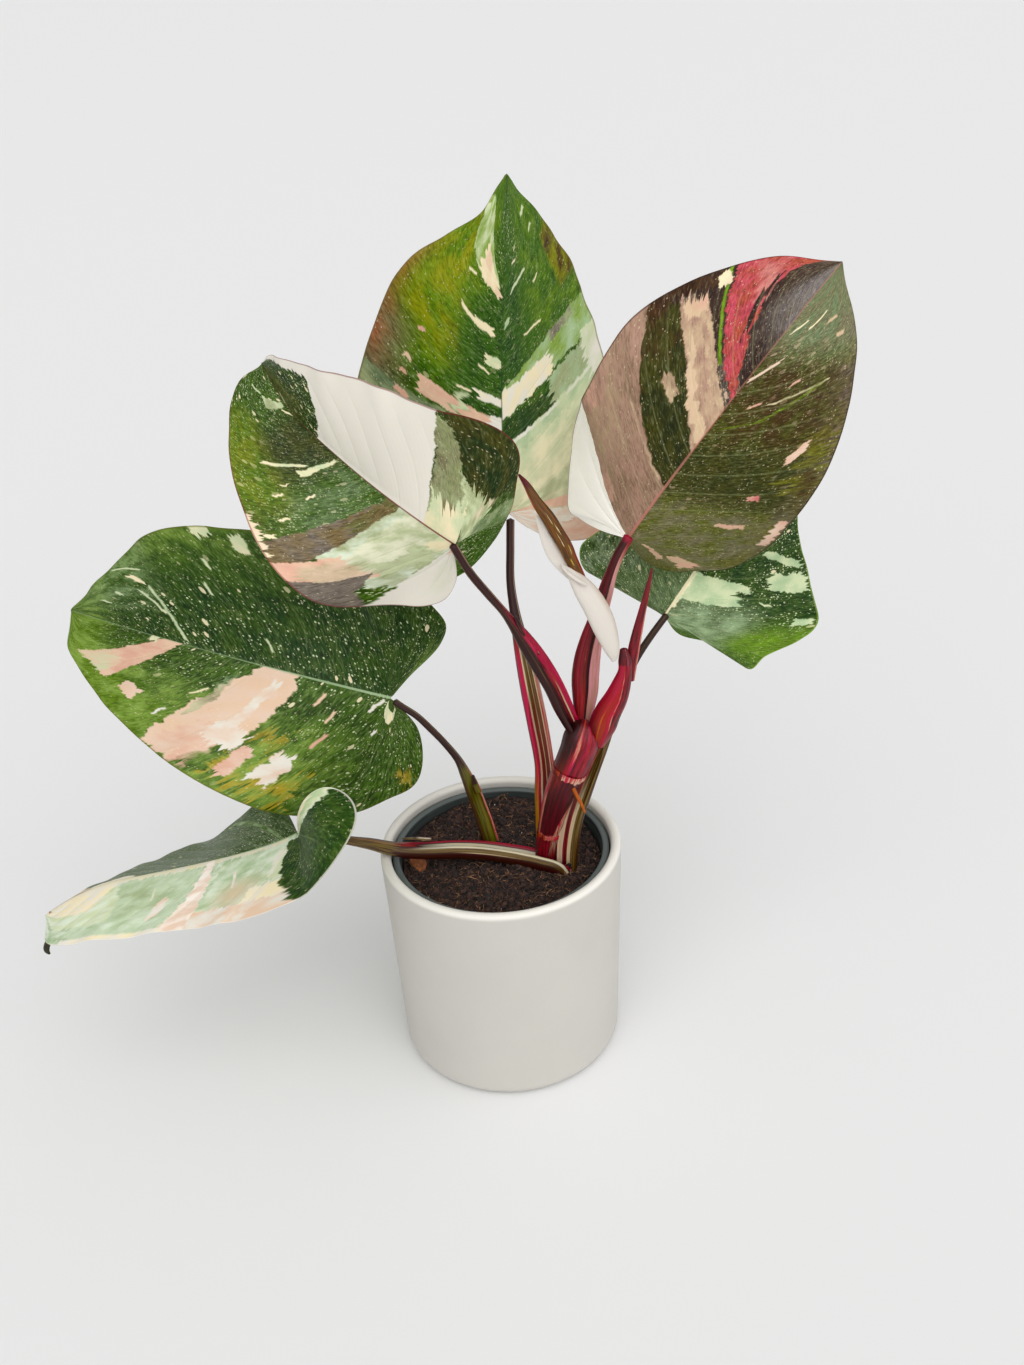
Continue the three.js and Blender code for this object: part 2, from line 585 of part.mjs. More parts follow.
addPart("cover_pot", coverPot(), COLOURS.ceramic, 0.5);
addPart("nursery_pot", nurseryPot(), COLOURS.plastic, 0.6);
addPart("soil", fromSolid(soil), COLOURS.soil, 0.95);
addPart("bark_chip", barkChip(0), COLOURS.bark, 0.9);
addPart("stem", fromSolid(pieces.stem), STEM.colour, 0.4);
for (const [name, shape] of Object.entries(lateShapes)) {
  addPart(name, fromSolid(pieces[name]), shape.colour, 0.45);
}
for (const [name, blade] of Object.entries(BLADES)) {
  const solid = largestBody(bladeSolid(blade).subtract(taken));
  addPart(`blade_${name}`, fromSolid(solid), blade.colour, 0.5);
}

export default plant;
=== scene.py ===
import math
from functools import partial, reduce

import bmesh
import bpy
import numpy as np
from mathutils import Matrix, Vector, noise


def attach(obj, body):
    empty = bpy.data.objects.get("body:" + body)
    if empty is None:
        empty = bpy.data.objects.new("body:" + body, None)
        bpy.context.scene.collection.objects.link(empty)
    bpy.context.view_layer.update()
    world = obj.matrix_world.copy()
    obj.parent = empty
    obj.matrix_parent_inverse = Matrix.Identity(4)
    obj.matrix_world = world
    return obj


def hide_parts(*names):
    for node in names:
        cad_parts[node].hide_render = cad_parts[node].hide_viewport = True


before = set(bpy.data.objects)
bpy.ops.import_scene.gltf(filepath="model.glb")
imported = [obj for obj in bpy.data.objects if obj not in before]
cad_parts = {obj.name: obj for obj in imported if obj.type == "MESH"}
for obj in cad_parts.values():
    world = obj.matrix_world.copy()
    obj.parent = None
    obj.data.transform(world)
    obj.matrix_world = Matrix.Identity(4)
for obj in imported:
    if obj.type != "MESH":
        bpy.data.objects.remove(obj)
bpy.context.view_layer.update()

bl_info = {
    "name": "Potted Variegated Philodendron",
    "version": (1, 0, 0),
    "blender": (4, 5, 0),
    "location": "3D View > Sidebar > Potted Plant",
    "description": "Dresses the packed solids of a potted plant with leaves, stalks, soil and glaze",
    "category": "Object",
}

MM = 0.001
BODY = "root"


def paint(red, green, blue):
    """A colour read in 0 to 255, as Blender's linear colour."""
    shares = (c / 255 for c in (red, green, blue))
    return tuple(((c + 0.055) / 1.055) ** 2.4 if c > 0.04 else c / 12.92 for c in shares)


def pigment(*seen):
    """The skin's own colour for one read in the photograph, less the light's strength and its gloss."""
    return tuple(max(0.003, c * 0.9 - 0.011) for c in paint(*seen))


def scaled(colour, factor):
    """A darker or lighter form of a colour."""
    return tuple(min(1, c * factor) for c in colour)


# Sizes of the solids, in millimetres, as the part's source has them

COVER = dict(height=137, rim=70, base=66.2, wall=6, floor=8, foot_round=6.4, lip_round=3, inside_round=5)
NURSERY = dict(foot=8.35, top=132.35, top_radius=60.6, base_radius=49, wall=1.4, rim_width=2.6, rim_depth=4.5)
SOIL = dict(edge=122, crown=126, back_rise=6, bottom=10.1)
BARK = dict(at=(-49, -1, 125.2), size=(9, 15, 4), turn=20, tilt=12)

# Each blade is drawn flat, x along the midrib and y to one side, then bent, as in the part's source.
BLADES = {
    "top": dict(
        base=(16, 61, 315), tip=(25, 55, 493), roll=41, arch=-8, neck=-2, droop=7, twist=10,
        fold_base=(0, -2), fold=(-10, -4), curl=(-39, 9), turn=(0, 0), wave=0.8,
        left=[(-14, 12), (-29, 35), (-26, 65), (9, 79), (60, 82), (113, 66), (139, 53), (152, 33),
            (162, 15)],
        right=[(-13, 14), (-26, 36), (-26, 64), (9, 80), (59, 79), (112, 59), (143, 38)]),
    "left": dict(
        base=(-12, -14, 329), tip=(-103, 34, 414), roll=-50, arch=10, neck=1, droop=22, twist=-1,
        fold_base=(-10, -12), fold=(40, 12), curl=(16, -18), turn=(0, 0), wave=0.6,
        left=[(-3, 8), (-12, 27), (-11, 47), (8, 64), (44, 66), (83, 55), (130, 20)],
        right=[(-1, 9), (-13, 27), (-8, 46), (5, 63), (46, 64), (81, 53), (126, 18)]),
    "right": dict(
        base=(77, 8, 318), tip=(175, -9, 455), roll=-4, arch=20, neck=9, droop=5, twist=1,
        fold_base=(-21, -34), fold=(2, -11), curl=(-3, 6), turn=(6, -15), wave=0.7,
        left=[(-13, 14), (-25, 31), (-24, 43), (9, 61), (53, 61), (103, 60), (151, 32)],
        right=[(-18, 12), (-24, 26), (-17, 40), (1, 62), (55, 61), (103, 55), (148, 32)]),
    "back": dict(
        base=(98, 21, 265), tip=(186, 95, 343), roll=-17, arch=9, neck=6, droop=-1, twist=-6,
        fold_base=(-1, -13), fold=(13, -17), curl=(16, 9), turn=(4, -28), wave=0.8,
        left=[(2, 14), (3, 34), (-2, 50), (7, 60), (20, 56), (40, 48), (68, 42), (96, 29), (120, 14)],
        right=[(-4, 13), (3, 35), (0, 54), (12, 58), (30, 68), (45, 71), (60, 58), (84, 34), (114, 13)]),
    "wide": dict(
        base=(-56, 18, 226), tip=(-239, 66, 270), roll=-2, arch=23, neck=9, droop=5, twist=2,
        fold_base=(-10, -30), fold=(21, 17), curl=(-11, 6), turn=(5, -4), wave=1.0,
        left=[(-22, 15), (-33, 42), (-22, 58), (7, 78), (72, 74), (124, 57), (183, 24)],
        right=[(-11, 16), (-29, 41), (-26, 59), (9, 77), (68, 77), (137, 62), (173, 28)]),
    "low": dict(
        base=(-116, -3, 153), tip=(-262, -24, 121), roll=70, arch=-1, neck=-17, droop=30, twist=3,
        fold_base=(-6, 13), fold=(-12, -18), curl=(-3, 13), turn=(86, 60), wave=0.5,
        left=[(-18, 14), (-51, 38), (-53, 56), (-24, 62), (24, 61), (68, 53), (109, 49), (146, 32)],
        right=[(6, 11), (8, 25), (8, 34), (14, 45), (37, 50), (73, 55), (111, 26), (140, 13)]),
}

# Each stalk runs through points x, y, z, half width. Its sheath is open towards face.
STALKS = {
    "petiole_top": dict(
        face=(0.3, -1, 0), sheath=0.55, depth=0.7,
        points=[(27, 0, 98, 6.6), (27.5, 3, 137, 6.9), (28, 7, 163, 6.8), (28, 12, 181, 5.8),
            (25.5, 17, 203, 6), (22.5, 23, 224, 5.8), (19.5, 30, 244, 4.8), (16.5, 37, 264, 3),
            (15, 44, 281, 2.4), (16, 51, 298, 2.3), (17, 58, 312, 2.3)]),
    "petiole_wide": dict(
        face=(0.4, -1, 0.2), sheath=0.45, depth=0.7,
        points=[(0, 6, 98, 4.8), (-4.5, 9, 122, 5), (-8, 12, 139, 4.9), (-11, 14, 151, 4.6),
            (-14, 15, 162, 4.4), (-17.5, 16, 173, 3.4), (-21.5, 17, 183.5, 2.3), (-28, 17, 194.5, 2),
            (-35, 17.5, 204, 2), (-42.5, 17.5, 213.5, 1.9), (-50, 17.5, 220, 1.9), (-54, 18, 223.5, 1.9)],
        spur=[(-11, 12, 163, 2.4), (-12.5, 12, 169, 1.9), (-13.5, 12, 175, 0.9)]),
    "petiole_back": dict(
        face=(-0.6, -1, 0.4), sheath=0.62, depth=0.7,
        points=[(37, -13, 98, 6), (37.5, -13, 125, 6.2), (39, -11.5, 142, 6.5), (42.5, -10, 158, 6.3),
            (48, -8, 173, 6), (54, -5, 186, 5), (60, -1.5, 198, 4), (65, 2, 209, 3.2), (73, 8, 227, 2.4),
            (80, 12, 242, 2.2), (88.5, 15.5, 254, 2), (99, 21, 265.5, 1.9)]),
    "petiole_low": dict(
        face=(0, 0.3, 1), sheath=0.6, depth=0.92,
        points=[(39, -13, 114, 6), (32.5, -12.5, 125.5, 7), (22, -10, 129, 7.2), (5, -6.5, 132, 6.8),
            (-12, -4, 134, 6.7), (-26, -4.5, 136, 6.4), (-41, -6, 137.5, 6), (-52, -8, 139.5, 4.9),
            (-60.5, -8.5, 141.3, 4.2), (-67, -7, 142.2, 3.9), (-75, -5, 143.6, 3.4),
            (-87, -4.5, 146.5, 2.6), (-100, -4.5, 150, 2.3), (-112, -4, 152.5, 2.2)],
        spur=[(-40, -3.5, 143, 2.6), (-48, -4.5, 144.8, 1.9), (-56, -5.5, 146.3, 0.9)]),
    "petiole_left": dict(
        face=(0.8, -0.5, 0.5), sheath=0.56, depth=0.7,
        points=[(48, -8, 208, 4.6), (44, -9, 217, 5.4), (39, -10, 230.5, 6.6), (34, -11, 244.5, 6.6),
            (28.5, -11.5, 256.5, 6.4), (20, -12, 273, 4.4), (11.5, -12.5, 288, 2.3), (3, -13, 300.5, 2.2),
            (-5.5, -13.5, 313.5, 2.2), (-13, -13.5, 329, 2.2)],
        spur=[(27, -12.5, 264, 1.8), (22.5, -13.5, 273, 2.2), (18.5, -14, 281, 2), (15.5, -14, 289, 0.8)]),
    "petiole_right": dict(
        face=(0.7, -1, 0), sheath=0.8, depth=0.6,
        points=[(50, -1, 209, 5), (51, 0, 219.5, 6.4), (52, 1, 230.5, 8.2), (52.5, 2, 241.5, 8.8),
            (54, 3, 252.5, 8.4), (56.5, 4, 263, 7.2), (60, 5, 273.5, 6.1), (64, 6, 286.5, 4.8),
            (67.5, 6.5, 298, 3.3), (71.5, 7, 308, 2.9), (77.5, 8.4, 318.5, 2.6)]),
}
STEM = dict(
    face=(0, -1, 0), depth=0.94,
    points=[(25, -3, 98, 6.4), (26, -4, 118, 6.4), (26.5, -5, 131.5, 6.6), (28.5, -6, 145, 6.9),
        (31.5, -7, 159.5, 7.6), (36, -8, 174.5, 8.8), (41, -8.5, 187, 9.6), (46, -9, 200, 10),
        (49, -9, 210, 10), (51, -8.5, 217, 6)])
YOUNG_SHEATH = dict(
    face=(0, -1, 0), depth=0.9,
    points=[(57, -9, 204, 4), (60, -10.5, 216, 7.4), (63, -11.5, 225, 7.3), (67.5, -12, 234, 6.4),
        (70.5, -12.5, 242.5, 5.2), (72.5, -13, 251, 3.7), (72.5, -13, 258, 3.4), (72, -13, 264, 2)])
LEAF_SPOON = dict(
    face=(0.4, -1, 0.4), depth=0.55,
    points=[(66.4, -18, 260, 1.2), (65.9, -18, 265.4, 3.8), (64.2, -18, 272.5, 5.4), (62, -18, 279.7, 6.5),
        (59.3, -18, 287.3, 6.8), (56.2, -18, 294.4, 6.5), (52.6, -18, 300.8, 5.9), (49.6, -18, 305.6, 4.8),
        (46.6, -18, 310, 3.2), (43.9, -18, 313.4, 1.8), (41, -18, 316.4, 0.6)])
LEAF_RIM = dict(
    face=(0.4, -1, 0.4), depth=0.8,
    points=[(40.8, -20.5, 316.6, 0.5), (44, -21.5, 313.2, 1), (48.3, -22, 309.6, 1.2),
        (53, -21.5, 306.2, 0.8)])
LEAF_ROLL = dict(
    face=(0.4, -1, 0.4), depth=0.8,
    points=[(53.5, -15, 302, 1.5), (49.5, -15, 310, 2.7), (46, -15, 318, 3.3), (43.3, -15, 325.4, 3.6),
        (39.2, -15, 333.3, 3.7), (35.4, -15, 341, 3.5), (30.1, -14, 349.3, 2.8), (25.6, -12.5, 357.9, 1.8),
        (22, -11, 363, 0.6)])
LEAF_FLAP = dict(
    face=(0.2, -1, 0.3), depth=0.3,
    points=[(46.5, -16, 308, 2), (41.6, -15.5, 314.5, 3), (37.8, -15, 320.8, 3.6), (35.1, -15, 327.5, 3.5),
        (32.4, -14.5, 335.2, 2.5), (29.6, -14, 342, 0.8)])
SPEAR = dict(
    face=(0.3, -1, 0), depth=0.6,
    points=[(75.5, -9.5, 243, 2.6), (76.3, -9, 252, 3.3), (77.5, -9, 260, 3.4), (79.5, -8.5, 270, 3),
        (82, -8, 281, 2.3), (84.5, -7, 291, 1.7), (88, -5.5, 306, 0.6)])
AERIAL_ROOT = dict(
    face=(0, -1, 0), depth=1,
    points=[(42, -14.5, 182, 1), (44, -17, 177.5, 1.05), (46.5, -18.5, 172, 0.9), (48.5, -19, 166, 0.6)])
# The dry end that hangs from the lowest blade
DRY_TIP = dict(
    face=(0, -1, 0.3), depth=0.6,
    points=[(-258.5, -24.5, 124, 0.8), (-258, -25, 118.5, 1.2), (-257.5, -25, 113.5, 1.3),
        (-260.5, -26, 108.5, 1.2), (-264, -27, 103, 1.8), (-265.5, -27, 98.5, 1.7),
        (-264.5, -27, 95.5, 0.7)])

TOWARDS_VIEWER = np.array(Vector((0, -0.875, 0.483)).normalized())

# How far the flat side veins lean to the tip, and the share of them that run into the lobes
VEIN_LEAN = 0.55
LOBE_SHARE = 0.3

# The sweep of the drawn veins as a share of reach. It grows past a place on the midrib.
VEIN_SWEEP = 0.05
SWEEP_GAIN = 0.22
SWEEP_FROM = 0.42

# Heights in metres between which the glaze's lip gets its painted highlight, the plastic rim gets its painted
# highlight and the soil's dust fades
LIP_HIGHLIGHT_BAND = (0.1335, 0.1362)
RIM_HIGHLIGHT_BAND = (0.1312, 0.132)
DUST_BAND = (0.129, 0.122)


# Settings

def colour_property(name, description, shade):
    return bpy.props.FloatVectorProperty(
        name=name, description=description, subtype="COLOR", size=3, min=0, max=1, default=paint(*shade))


class PLANT_PG_sizes(bpy.types.PropertyGroup):
    """Sizes of the finished surfaces"""
    pot_sides: bpy.props.IntProperty(
        name="Pot Sides", description="Faces around each pot", default=144, min=24)
    blade_thickness: bpy.props.FloatProperty(
        name="Blade Thickness", description="Thickness of a leaf blade", default=0.55 * MM, unit="LENGTH")
    midrib_depth: bpy.props.FloatProperty(
        name="Midrib Depth", description="How far the midrib stands out below", default=1.5 * MM,
        unit="LENGTH")
    puff: bpy.props.FloatProperty(
        name="Puff", description="How far the blade swells between side veins", default=0.35 * MM,
        unit="LENGTH")
    stalk_sides: bpy.props.IntProperty(
        name="Stalk Sides", description="Points around a leaf stalk", default=44, min=16)
    crumbs: bpy.props.IntProperty(
        name="Crumbs", description="Crumbs of soil per square metre", default=360000)
    fibres: bpy.props.IntProperty(
        name="Fibres", description="Fibres per square metre", default=52000)
    grains: bpy.props.IntProperty(
        name="Grains", description="White grains per square metre", default=5200)
    seed: bpy.props.IntProperty(
        name="Seed", description="Seed of everything scattered", default=17)


class PLANT_PG_colours(bpy.types.PropertyGroup):
    """Colours of the finishes"""
    ceramic: colour_property("Ceramic", "Glaze of the cover pot", (191, 188, 181))
    plastic: colour_property("Plastic", "Nursery pot", (46, 54, 53))
    soil: colour_property("Soil", "Damp peat", (42, 26, 20))
    bark: colour_property("Bark", "Bark chip", (160, 92, 48))
    floor: colour_property("Floor", "Studio floor", (233, 233, 233))


class PLANT_PG_stage(bpy.types.PropertyGroup):
    """Camera and studio"""
    lens: bpy.props.FloatProperty(
        name="Lens", description="Focal length", default=34.29, subtype="DISTANCE_CAMERA")
    key_strength: bpy.props.FloatProperty(
        name="Key Light", description="Strength of the large soft light in front", default=1.35)
    side_strength: bpy.props.FloatProperty(
        name="Side Light", description="Strength of the weak light from the right", default=0.36)
    sky: bpy.props.FloatProperty(
        name="Sky", description="Strength of the even light all round", default=0.86)


# Node helpers

class Wiring:
    """Places nodes in a tree and joins them."""

    def __init__(self, tree):
        self.tree = tree

    def add(self, kind, inputs=None, **settings):
        node = self.tree.nodes.new(kind)
        for key, value in settings.items():
            setattr(node, key, value)
        for key, value in (inputs or {}).items():
            self.put(node.inputs[key], value)
        return node

    def put(self, socket, value):
        if isinstance(value, bpy.types.NodeSocket):
            self.tree.links.new(value, socket)
        elif isinstance(value, (tuple, list)) and socket.type == "RGBA" and len(value) == 3:
            socket.default_value = (*value, 1)
        else:
            socket.default_value = value

    def math(self, operation, a, b=0, c=0):
        node = self.add("ShaderNodeMath", operation=operation)
        for socket, value in zip(node.inputs, (a, b, c)):
            self.put(socket, value)
        return node.outputs[0]

    def minus(self, a, b):
        return self.math("SUBTRACT", a, b)

    def total(self, *values):
        return reduce(partial(self.math, "ADD"), values)

    def product(self, *values):
        return reduce(partial(self.math, "MULTIPLY"), values)

    def blend(self, factor, a, b, mode="MIX"):
        node = self.add("ShaderNodeMix", data_type="RGBA", blend_type=mode)
        for index, value in ((0, factor), (6, a), (7, b)):
            self.put(node.inputs[index], value)
        return node.outputs[2]

    def step(self, value, low, high):
        """0 below low, 1 above high, smooth between."""
        node = self.add("ShaderNodeMapRange", interpolation_type="SMOOTHSTEP")
        for index, each in enumerate((value, low, high, 0, 1)):
            self.put(node.inputs[index], each)
        return node.outputs[0]

    def noise(self, vector, scale, detail=3, rough=0.55, distortion=0):
        node = self.add("ShaderNodeTexNoise", {
            "Vector": vector, "Scale": scale, "Detail": detail, "Roughness": rough, "Distortion": distortion})
        return node.outputs["Fac"]

    def vector(self, x, y, z=0):
        return self.add("ShaderNodeCombineXYZ", {"X": x, "Y": y, "Z": z}).outputs[0]

    def split(self, vector):
        return self.add("ShaderNodeSeparateXYZ", {0: vector}).outputs

    def stretched_noise(self, x, x_scale, y, y_scale, seed, detail, rough=0.55):
        """Noise with its own scale in each direction, and its place in the third as its seed."""
        place = self.vector(self.product(x, x_scale), self.product(y, y_scale), seed)
        return self.noise(place, 1, detail, rough)

    def group(self, tree, inputs):
        node = self.add("ShaderNodeGroup", node_tree=tree)
        for key, value in inputs.items():
            self.put(node.inputs[key], value)
        return node


def add_tree(name, kind, sockets, inputs, outputs):
    """A node group with named sockets: how to place nodes in it, its inputs and its output node."""
    tree = bpy.data.node_groups.new(name, kind)
    for labels, in_out in ((inputs, "INPUT"), (outputs, "OUTPUT")):
        for socket, names in labels.items():
            for label in names:
                tree.interface.new_socket(label, in_out=in_out, socket_type=sockets[socket])
    wiring = Wiring(tree)
    return wiring, wiring.add("NodeGroupInput").outputs, wiring.add("NodeGroupOutput")


def group_tree(name, inputs, outputs):
    """A shader node group. It puts out only colours, masks, values and normals."""
    kinds = {"value": "NodeSocketFloat", "colour": "NodeSocketColor", "vector": "NodeSocketVector"}
    return add_tree(name, "ShaderNodeTree", kinds, inputs, outputs)


def rule_tree(name, inputs):
    """A Geometry Nodes tree that puts out one shape."""
    wiring, source, target = add_tree(name, "GeometryNodeTree", {
        "mesh": "NodeSocketGeometry", "whole": "NodeSocketInt", "value": "NodeSocketFloat",
        "finish": "NodeSocketMaterial"}, inputs, {"mesh": ["Shape"]})
    wiring.tree.is_modifier = True
    return wiring, source, target


def shared(name, build):
    """The node group of that name, built on first use."""
    return bpy.data.node_groups.get(name) or build(name)


PATCH_SOCKETS = ("Inner Left", "Outer Left", "Inner Right", "Outer Right", "Left Bend", "Right Bend", "From",
                 "To", "Edge", "End", "Softness", "Strength")


def patch_group(name):
    """A band of colour between two side veins, with torn ends, painted over the colour under it."""
    w, source, target = group_tree(name, {
        "colour": ["Under", "Colour", "Second Colour"],
        "value": ["Place", "Reach", "Edge Noise", "End Noise", "Mottle", *PATCH_SOCKETS]}, {
        "colour": ["Colour"]})
    reach = source["Reach"]
    bow = w.product(4, reach, w.minus(1, reach))

    def border(inner, outer, bend):
        span = w.minus(source[outer], source[inner])
        return w.total(source[inner], w.product(span, reach), w.product(source[bend], bow))

    place = w.total(source["Place"], w.product(source["Edge Noise"], source["Edge"]))
    along = w.total(reach, w.product(source["End Noise"], source["End"]))
    soft = source["Softness"]
    hard = w.product(soft, -1)
    end_soft = w.product(soft, 3)
    end_hard = w.product(end_soft, -1)
    inside = w.product(
        w.step(w.minus(place, border("Inner Left", "Outer Left", "Left Bend")), hard, soft),
        w.step(w.minus(border("Inner Right", "Outer Right", "Right Bend"), place), hard, soft),
        w.step(w.minus(along, source["From"]), end_hard, end_soft),
        w.step(w.minus(source["To"], along), end_hard, end_soft),
        source["Strength"])
    own = w.blend(source["Mottle"], source["Colour"], source["Second Colour"])
    w.put(target.inputs["Colour"], w.blend(inside, source["Under"], own))
    return w.tree


def blade_grain_group(name):
    """Reads the blade's UV map of side vein and reach, and gives noises that run along the veins."""
    w, source, target = group_tree(name, {"vector": ["Vein UV"], "value": ["Seed"]}, {"value": [
        "Place", "Leaning", "Reach", "Left Half", "Edge Noise", "End Noise", "Mottle", "Streaks"]})
    split = w.split(source["Vein UV"])
    place = split["X"]
    reach = w.math("ABSOLUTE", split["Y"])
    left = w.math("GREATER_THAN", split["Y"], 0)
    seed = w.total(source["Seed"], w.product(left, 7.3))
    ahead = w.math("MAXIMUM", w.minus(place, SWEEP_FROM), 0)
    lean = w.total(VEIN_SWEEP, w.product(SWEEP_GAIN, ahead))
    leaning = w.minus(place, w.product(reach, lean))
    edge = w.stretched_noise(place, 9, reach, 13, seed, 4, 0.62)
    end = w.stretched_noise(leaning, 95, reach, 2, seed, 3, 0.6)
    mottle = w.stretched_noise(leaning, 26, reach, 7, seed, 3, 0.5)
    streaks = w.stretched_noise(leaning, 260, reach, 20, seed, 3, 0.6)
    for label, value in {
            "Place": place, "Leaning": leaning, "Reach": reach, "Left Half": left,
            "Edge Noise": w.minus(edge, 0.5), "End Noise": w.minus(end, 0.5),
            "Mottle": w.step(mottle, 0.3, 0.7), "Streaks": streaks}.items():
        w.put(target.inputs[label], value)
    return w.tree


def speckle_group(name):
    """Small dots and dashes that lie along the side veins."""
    w, source, target = group_tree(name, {
        "value": ["Leaning", "Reach", "Seed", "Width", "Length", "Share", "Size"]}, {"value": ["Mask"]})
    spot = w.vector(
        w.total(w.math("DIVIDE", source["Leaning"], source["Width"]), source["Seed"]),
        w.total(w.math("DIVIDE", source["Reach"], source["Length"]), source["Seed"]))
    cells = w.add("ShaderNodeTexVoronoi", {"Vector": spot, "Scale": 1, "Randomness": 1},
                  voronoi_dimensions="2D", feature="F1")
    tint = w.add("ShaderNodeSeparateColor", {0: cells.outputs["Color"]}).outputs
    cloud = w.step(w.noise(spot, 0.11, 2), 0.3, 0.7)
    chosen = w.math("LESS_THAN", tint[0], w.product(source["Share"], w.total(0.25, w.product(1.5, cloud))))
    radius = w.product(source["Size"], w.total(0.35, w.product(0.65, tint[1])))
    ripple = w.minus(w.noise(spot, 3, 2), 0.5)
    ragged = w.total(cells.outputs["Distance"], w.product(0.18, ripple))
    near = w.step(w.minus(radius, ragged), 0, 0.09)
    w.put(target.inputs["Mask"], w.product(chosen, near))
    return w.tree


def vein_group(name):
    """Thin lines along the side veins, with a height for the bump."""
    w, source, target = group_tree(
        name, {"value": ["Leaning", "Reach", "Veins"]}, {"value": ["Line", "Height"]})

    def comb(count, width):
        phase = w.math("FRACT", w.product(source["Leaning"], count))
        return w.step(w.math("ABSOLUTE", w.minus(phase, 0.5)), 0.5 - width, 0.5)

    fade = w.step(source["Reach"], 1.02, 0.55)
    main = w.product(comb(source["Veins"], 0.07), fade)
    fine = w.product(comb(w.product(source["Veins"], 5), 0.25), fade)
    w.put(target.inputs["Line"], main)
    w.put(target.inputs["Height"], w.total(w.product(main, -1), w.product(fine, -0.25)))
    return w.tree


def new_material(name, rough=0.5):
    material = bpy.data.materials.new(name)
    material.use_nodes = True
    wiring = Wiring(material.node_tree)
    shader = material.node_tree.nodes["Principled BSDF"]
    shader.inputs["Roughness"].default_value = rough
    return material, wiring, shader


def object_place(w):
    return w.add("ShaderNodeTexCoord").outputs["Object"]


def uv_place(w, name):
    return w.add("ShaderNodeUVMap", uv_map=name).outputs["UV"]


def bump(w, shader, height, distance, strength=1):
    node = w.add("ShaderNodeBump", {"Height": height, "Distance": distance, "Strength": strength})
    w.put(shader.inputs["Normal"], node.outputs["Normal"])


# Variegation, read from the photograph, in percent. Place runs 0 at the sinus, 30 at the petiole and
# 100 at the tip, and reach runs 0 at the midrib and 100 at the margin. On a stalk, place runs -100 to 100
# across what the viewer sees, and reach 0 to 100 along it. Later rows lie over earlier ones.

def ends(value):
    """A border at the midrib and at the margin, as shares. One percentage stands for both."""
    return tuple(end / 100 for end in (value if isinstance(value, tuple) else (value, value)))


def patch(colours, left, right, reach=(0, 100), edge=3, end=25, soft=0.25, strength=100, bend=0):
    """A band of one or two colours between a left and a right border, with torn edges and ends."""
    start = -1 if reach[0] <= 0 else reach[0] / 100
    stop = 3 if reach[1] >= 100 else reach[1] / 100
    return colours, (*ends(left), *ends(right), *ends(bend), start, stop, edge / 100, end / 100, soft / 100,
                     strength / 100)


def wash(colours, left, right, reach=(0, 100), strength=70):
    """A soft change of the ground, without torn edges."""
    return patch(colours, left, right, reach, 2, 5, 5, strength)


def strokes(colours, *lines, edge=1.2, end=12, **more):
    """Bands of even width. Each line is place and reach of its start, of its end, and its width."""
    bands = []
    for place, reach, end_place, end_reach, width in lines:
        slope = (end_place - place) / (end_reach - reach)
        first = place - slope * reach - width / 2
        last = first + slope * 100
        bands.append(patch(colours, (first, last), (first + width, last + width), (reach, end_reach),
                           edge, end, **more))
    return bands


SEEN = dict(
    white=(214, 210, 200), lit_white=(252, 249, 242), cream=(222, 211, 180),
    mint=(192, 200, 166), celadon=(164, 183, 148), apple=(136, 160, 82),
    lime=(122, 158, 12), vivid=(104, 132, 8), green=(80, 108, 40), fern=(68, 92, 38),
    pine=(46, 74, 32), dark_green=(44, 62, 18), moss=(54, 60, 28), olive=(104, 108, 46),
    dark_olive=(76, 76, 34), yellow_olive=(138, 142, 6), sage=(158, 165, 128), grey_green=(116, 132, 102),
    mauve_grey=(126, 117, 108), brown=(80, 56, 18), khaki=(126, 122, 94), grass=(68, 104, 8),
    forest=(44, 78, 8), umber=(64, 46, 40), taupe=(122, 106, 74), tan=(152, 127, 108),
    mauve_tan=(170, 140, 124), beige=(194, 172, 144), light_beige=(204, 184, 154), peach=(212, 186, 162),
    wine=(98, 22, 42), pink=(206, 166, 148), blush=(212, 190, 172), rose=(188, 86, 100),
    brick=(170, 88, 72), crimson=(150, 22, 46), orange=(190, 162, 66), maroon=(64, 14, 26),
    silver=(140, 134, 134), hot_pink=(205, 66, 98), scarlet=(196, 24, 50), ember=(172, 66, 46),
    mauve=(122, 52, 58), rib_pink=(184, 128, 118), plum=(44, 16, 20), pale_mauve=(232, 176, 184),
    root_tan=(192, 128, 76), pale_grey=(206, 214, 196), shell=(230, 224, 216), rust=(128, 84, 44))
SHADES = {name: pigment(*seen) for name, seen in SEEN.items()}


def shades(names):
    """Two colours for one or two names."""
    return [SHADES[name] for name in (names.split() * 2)[:2]]


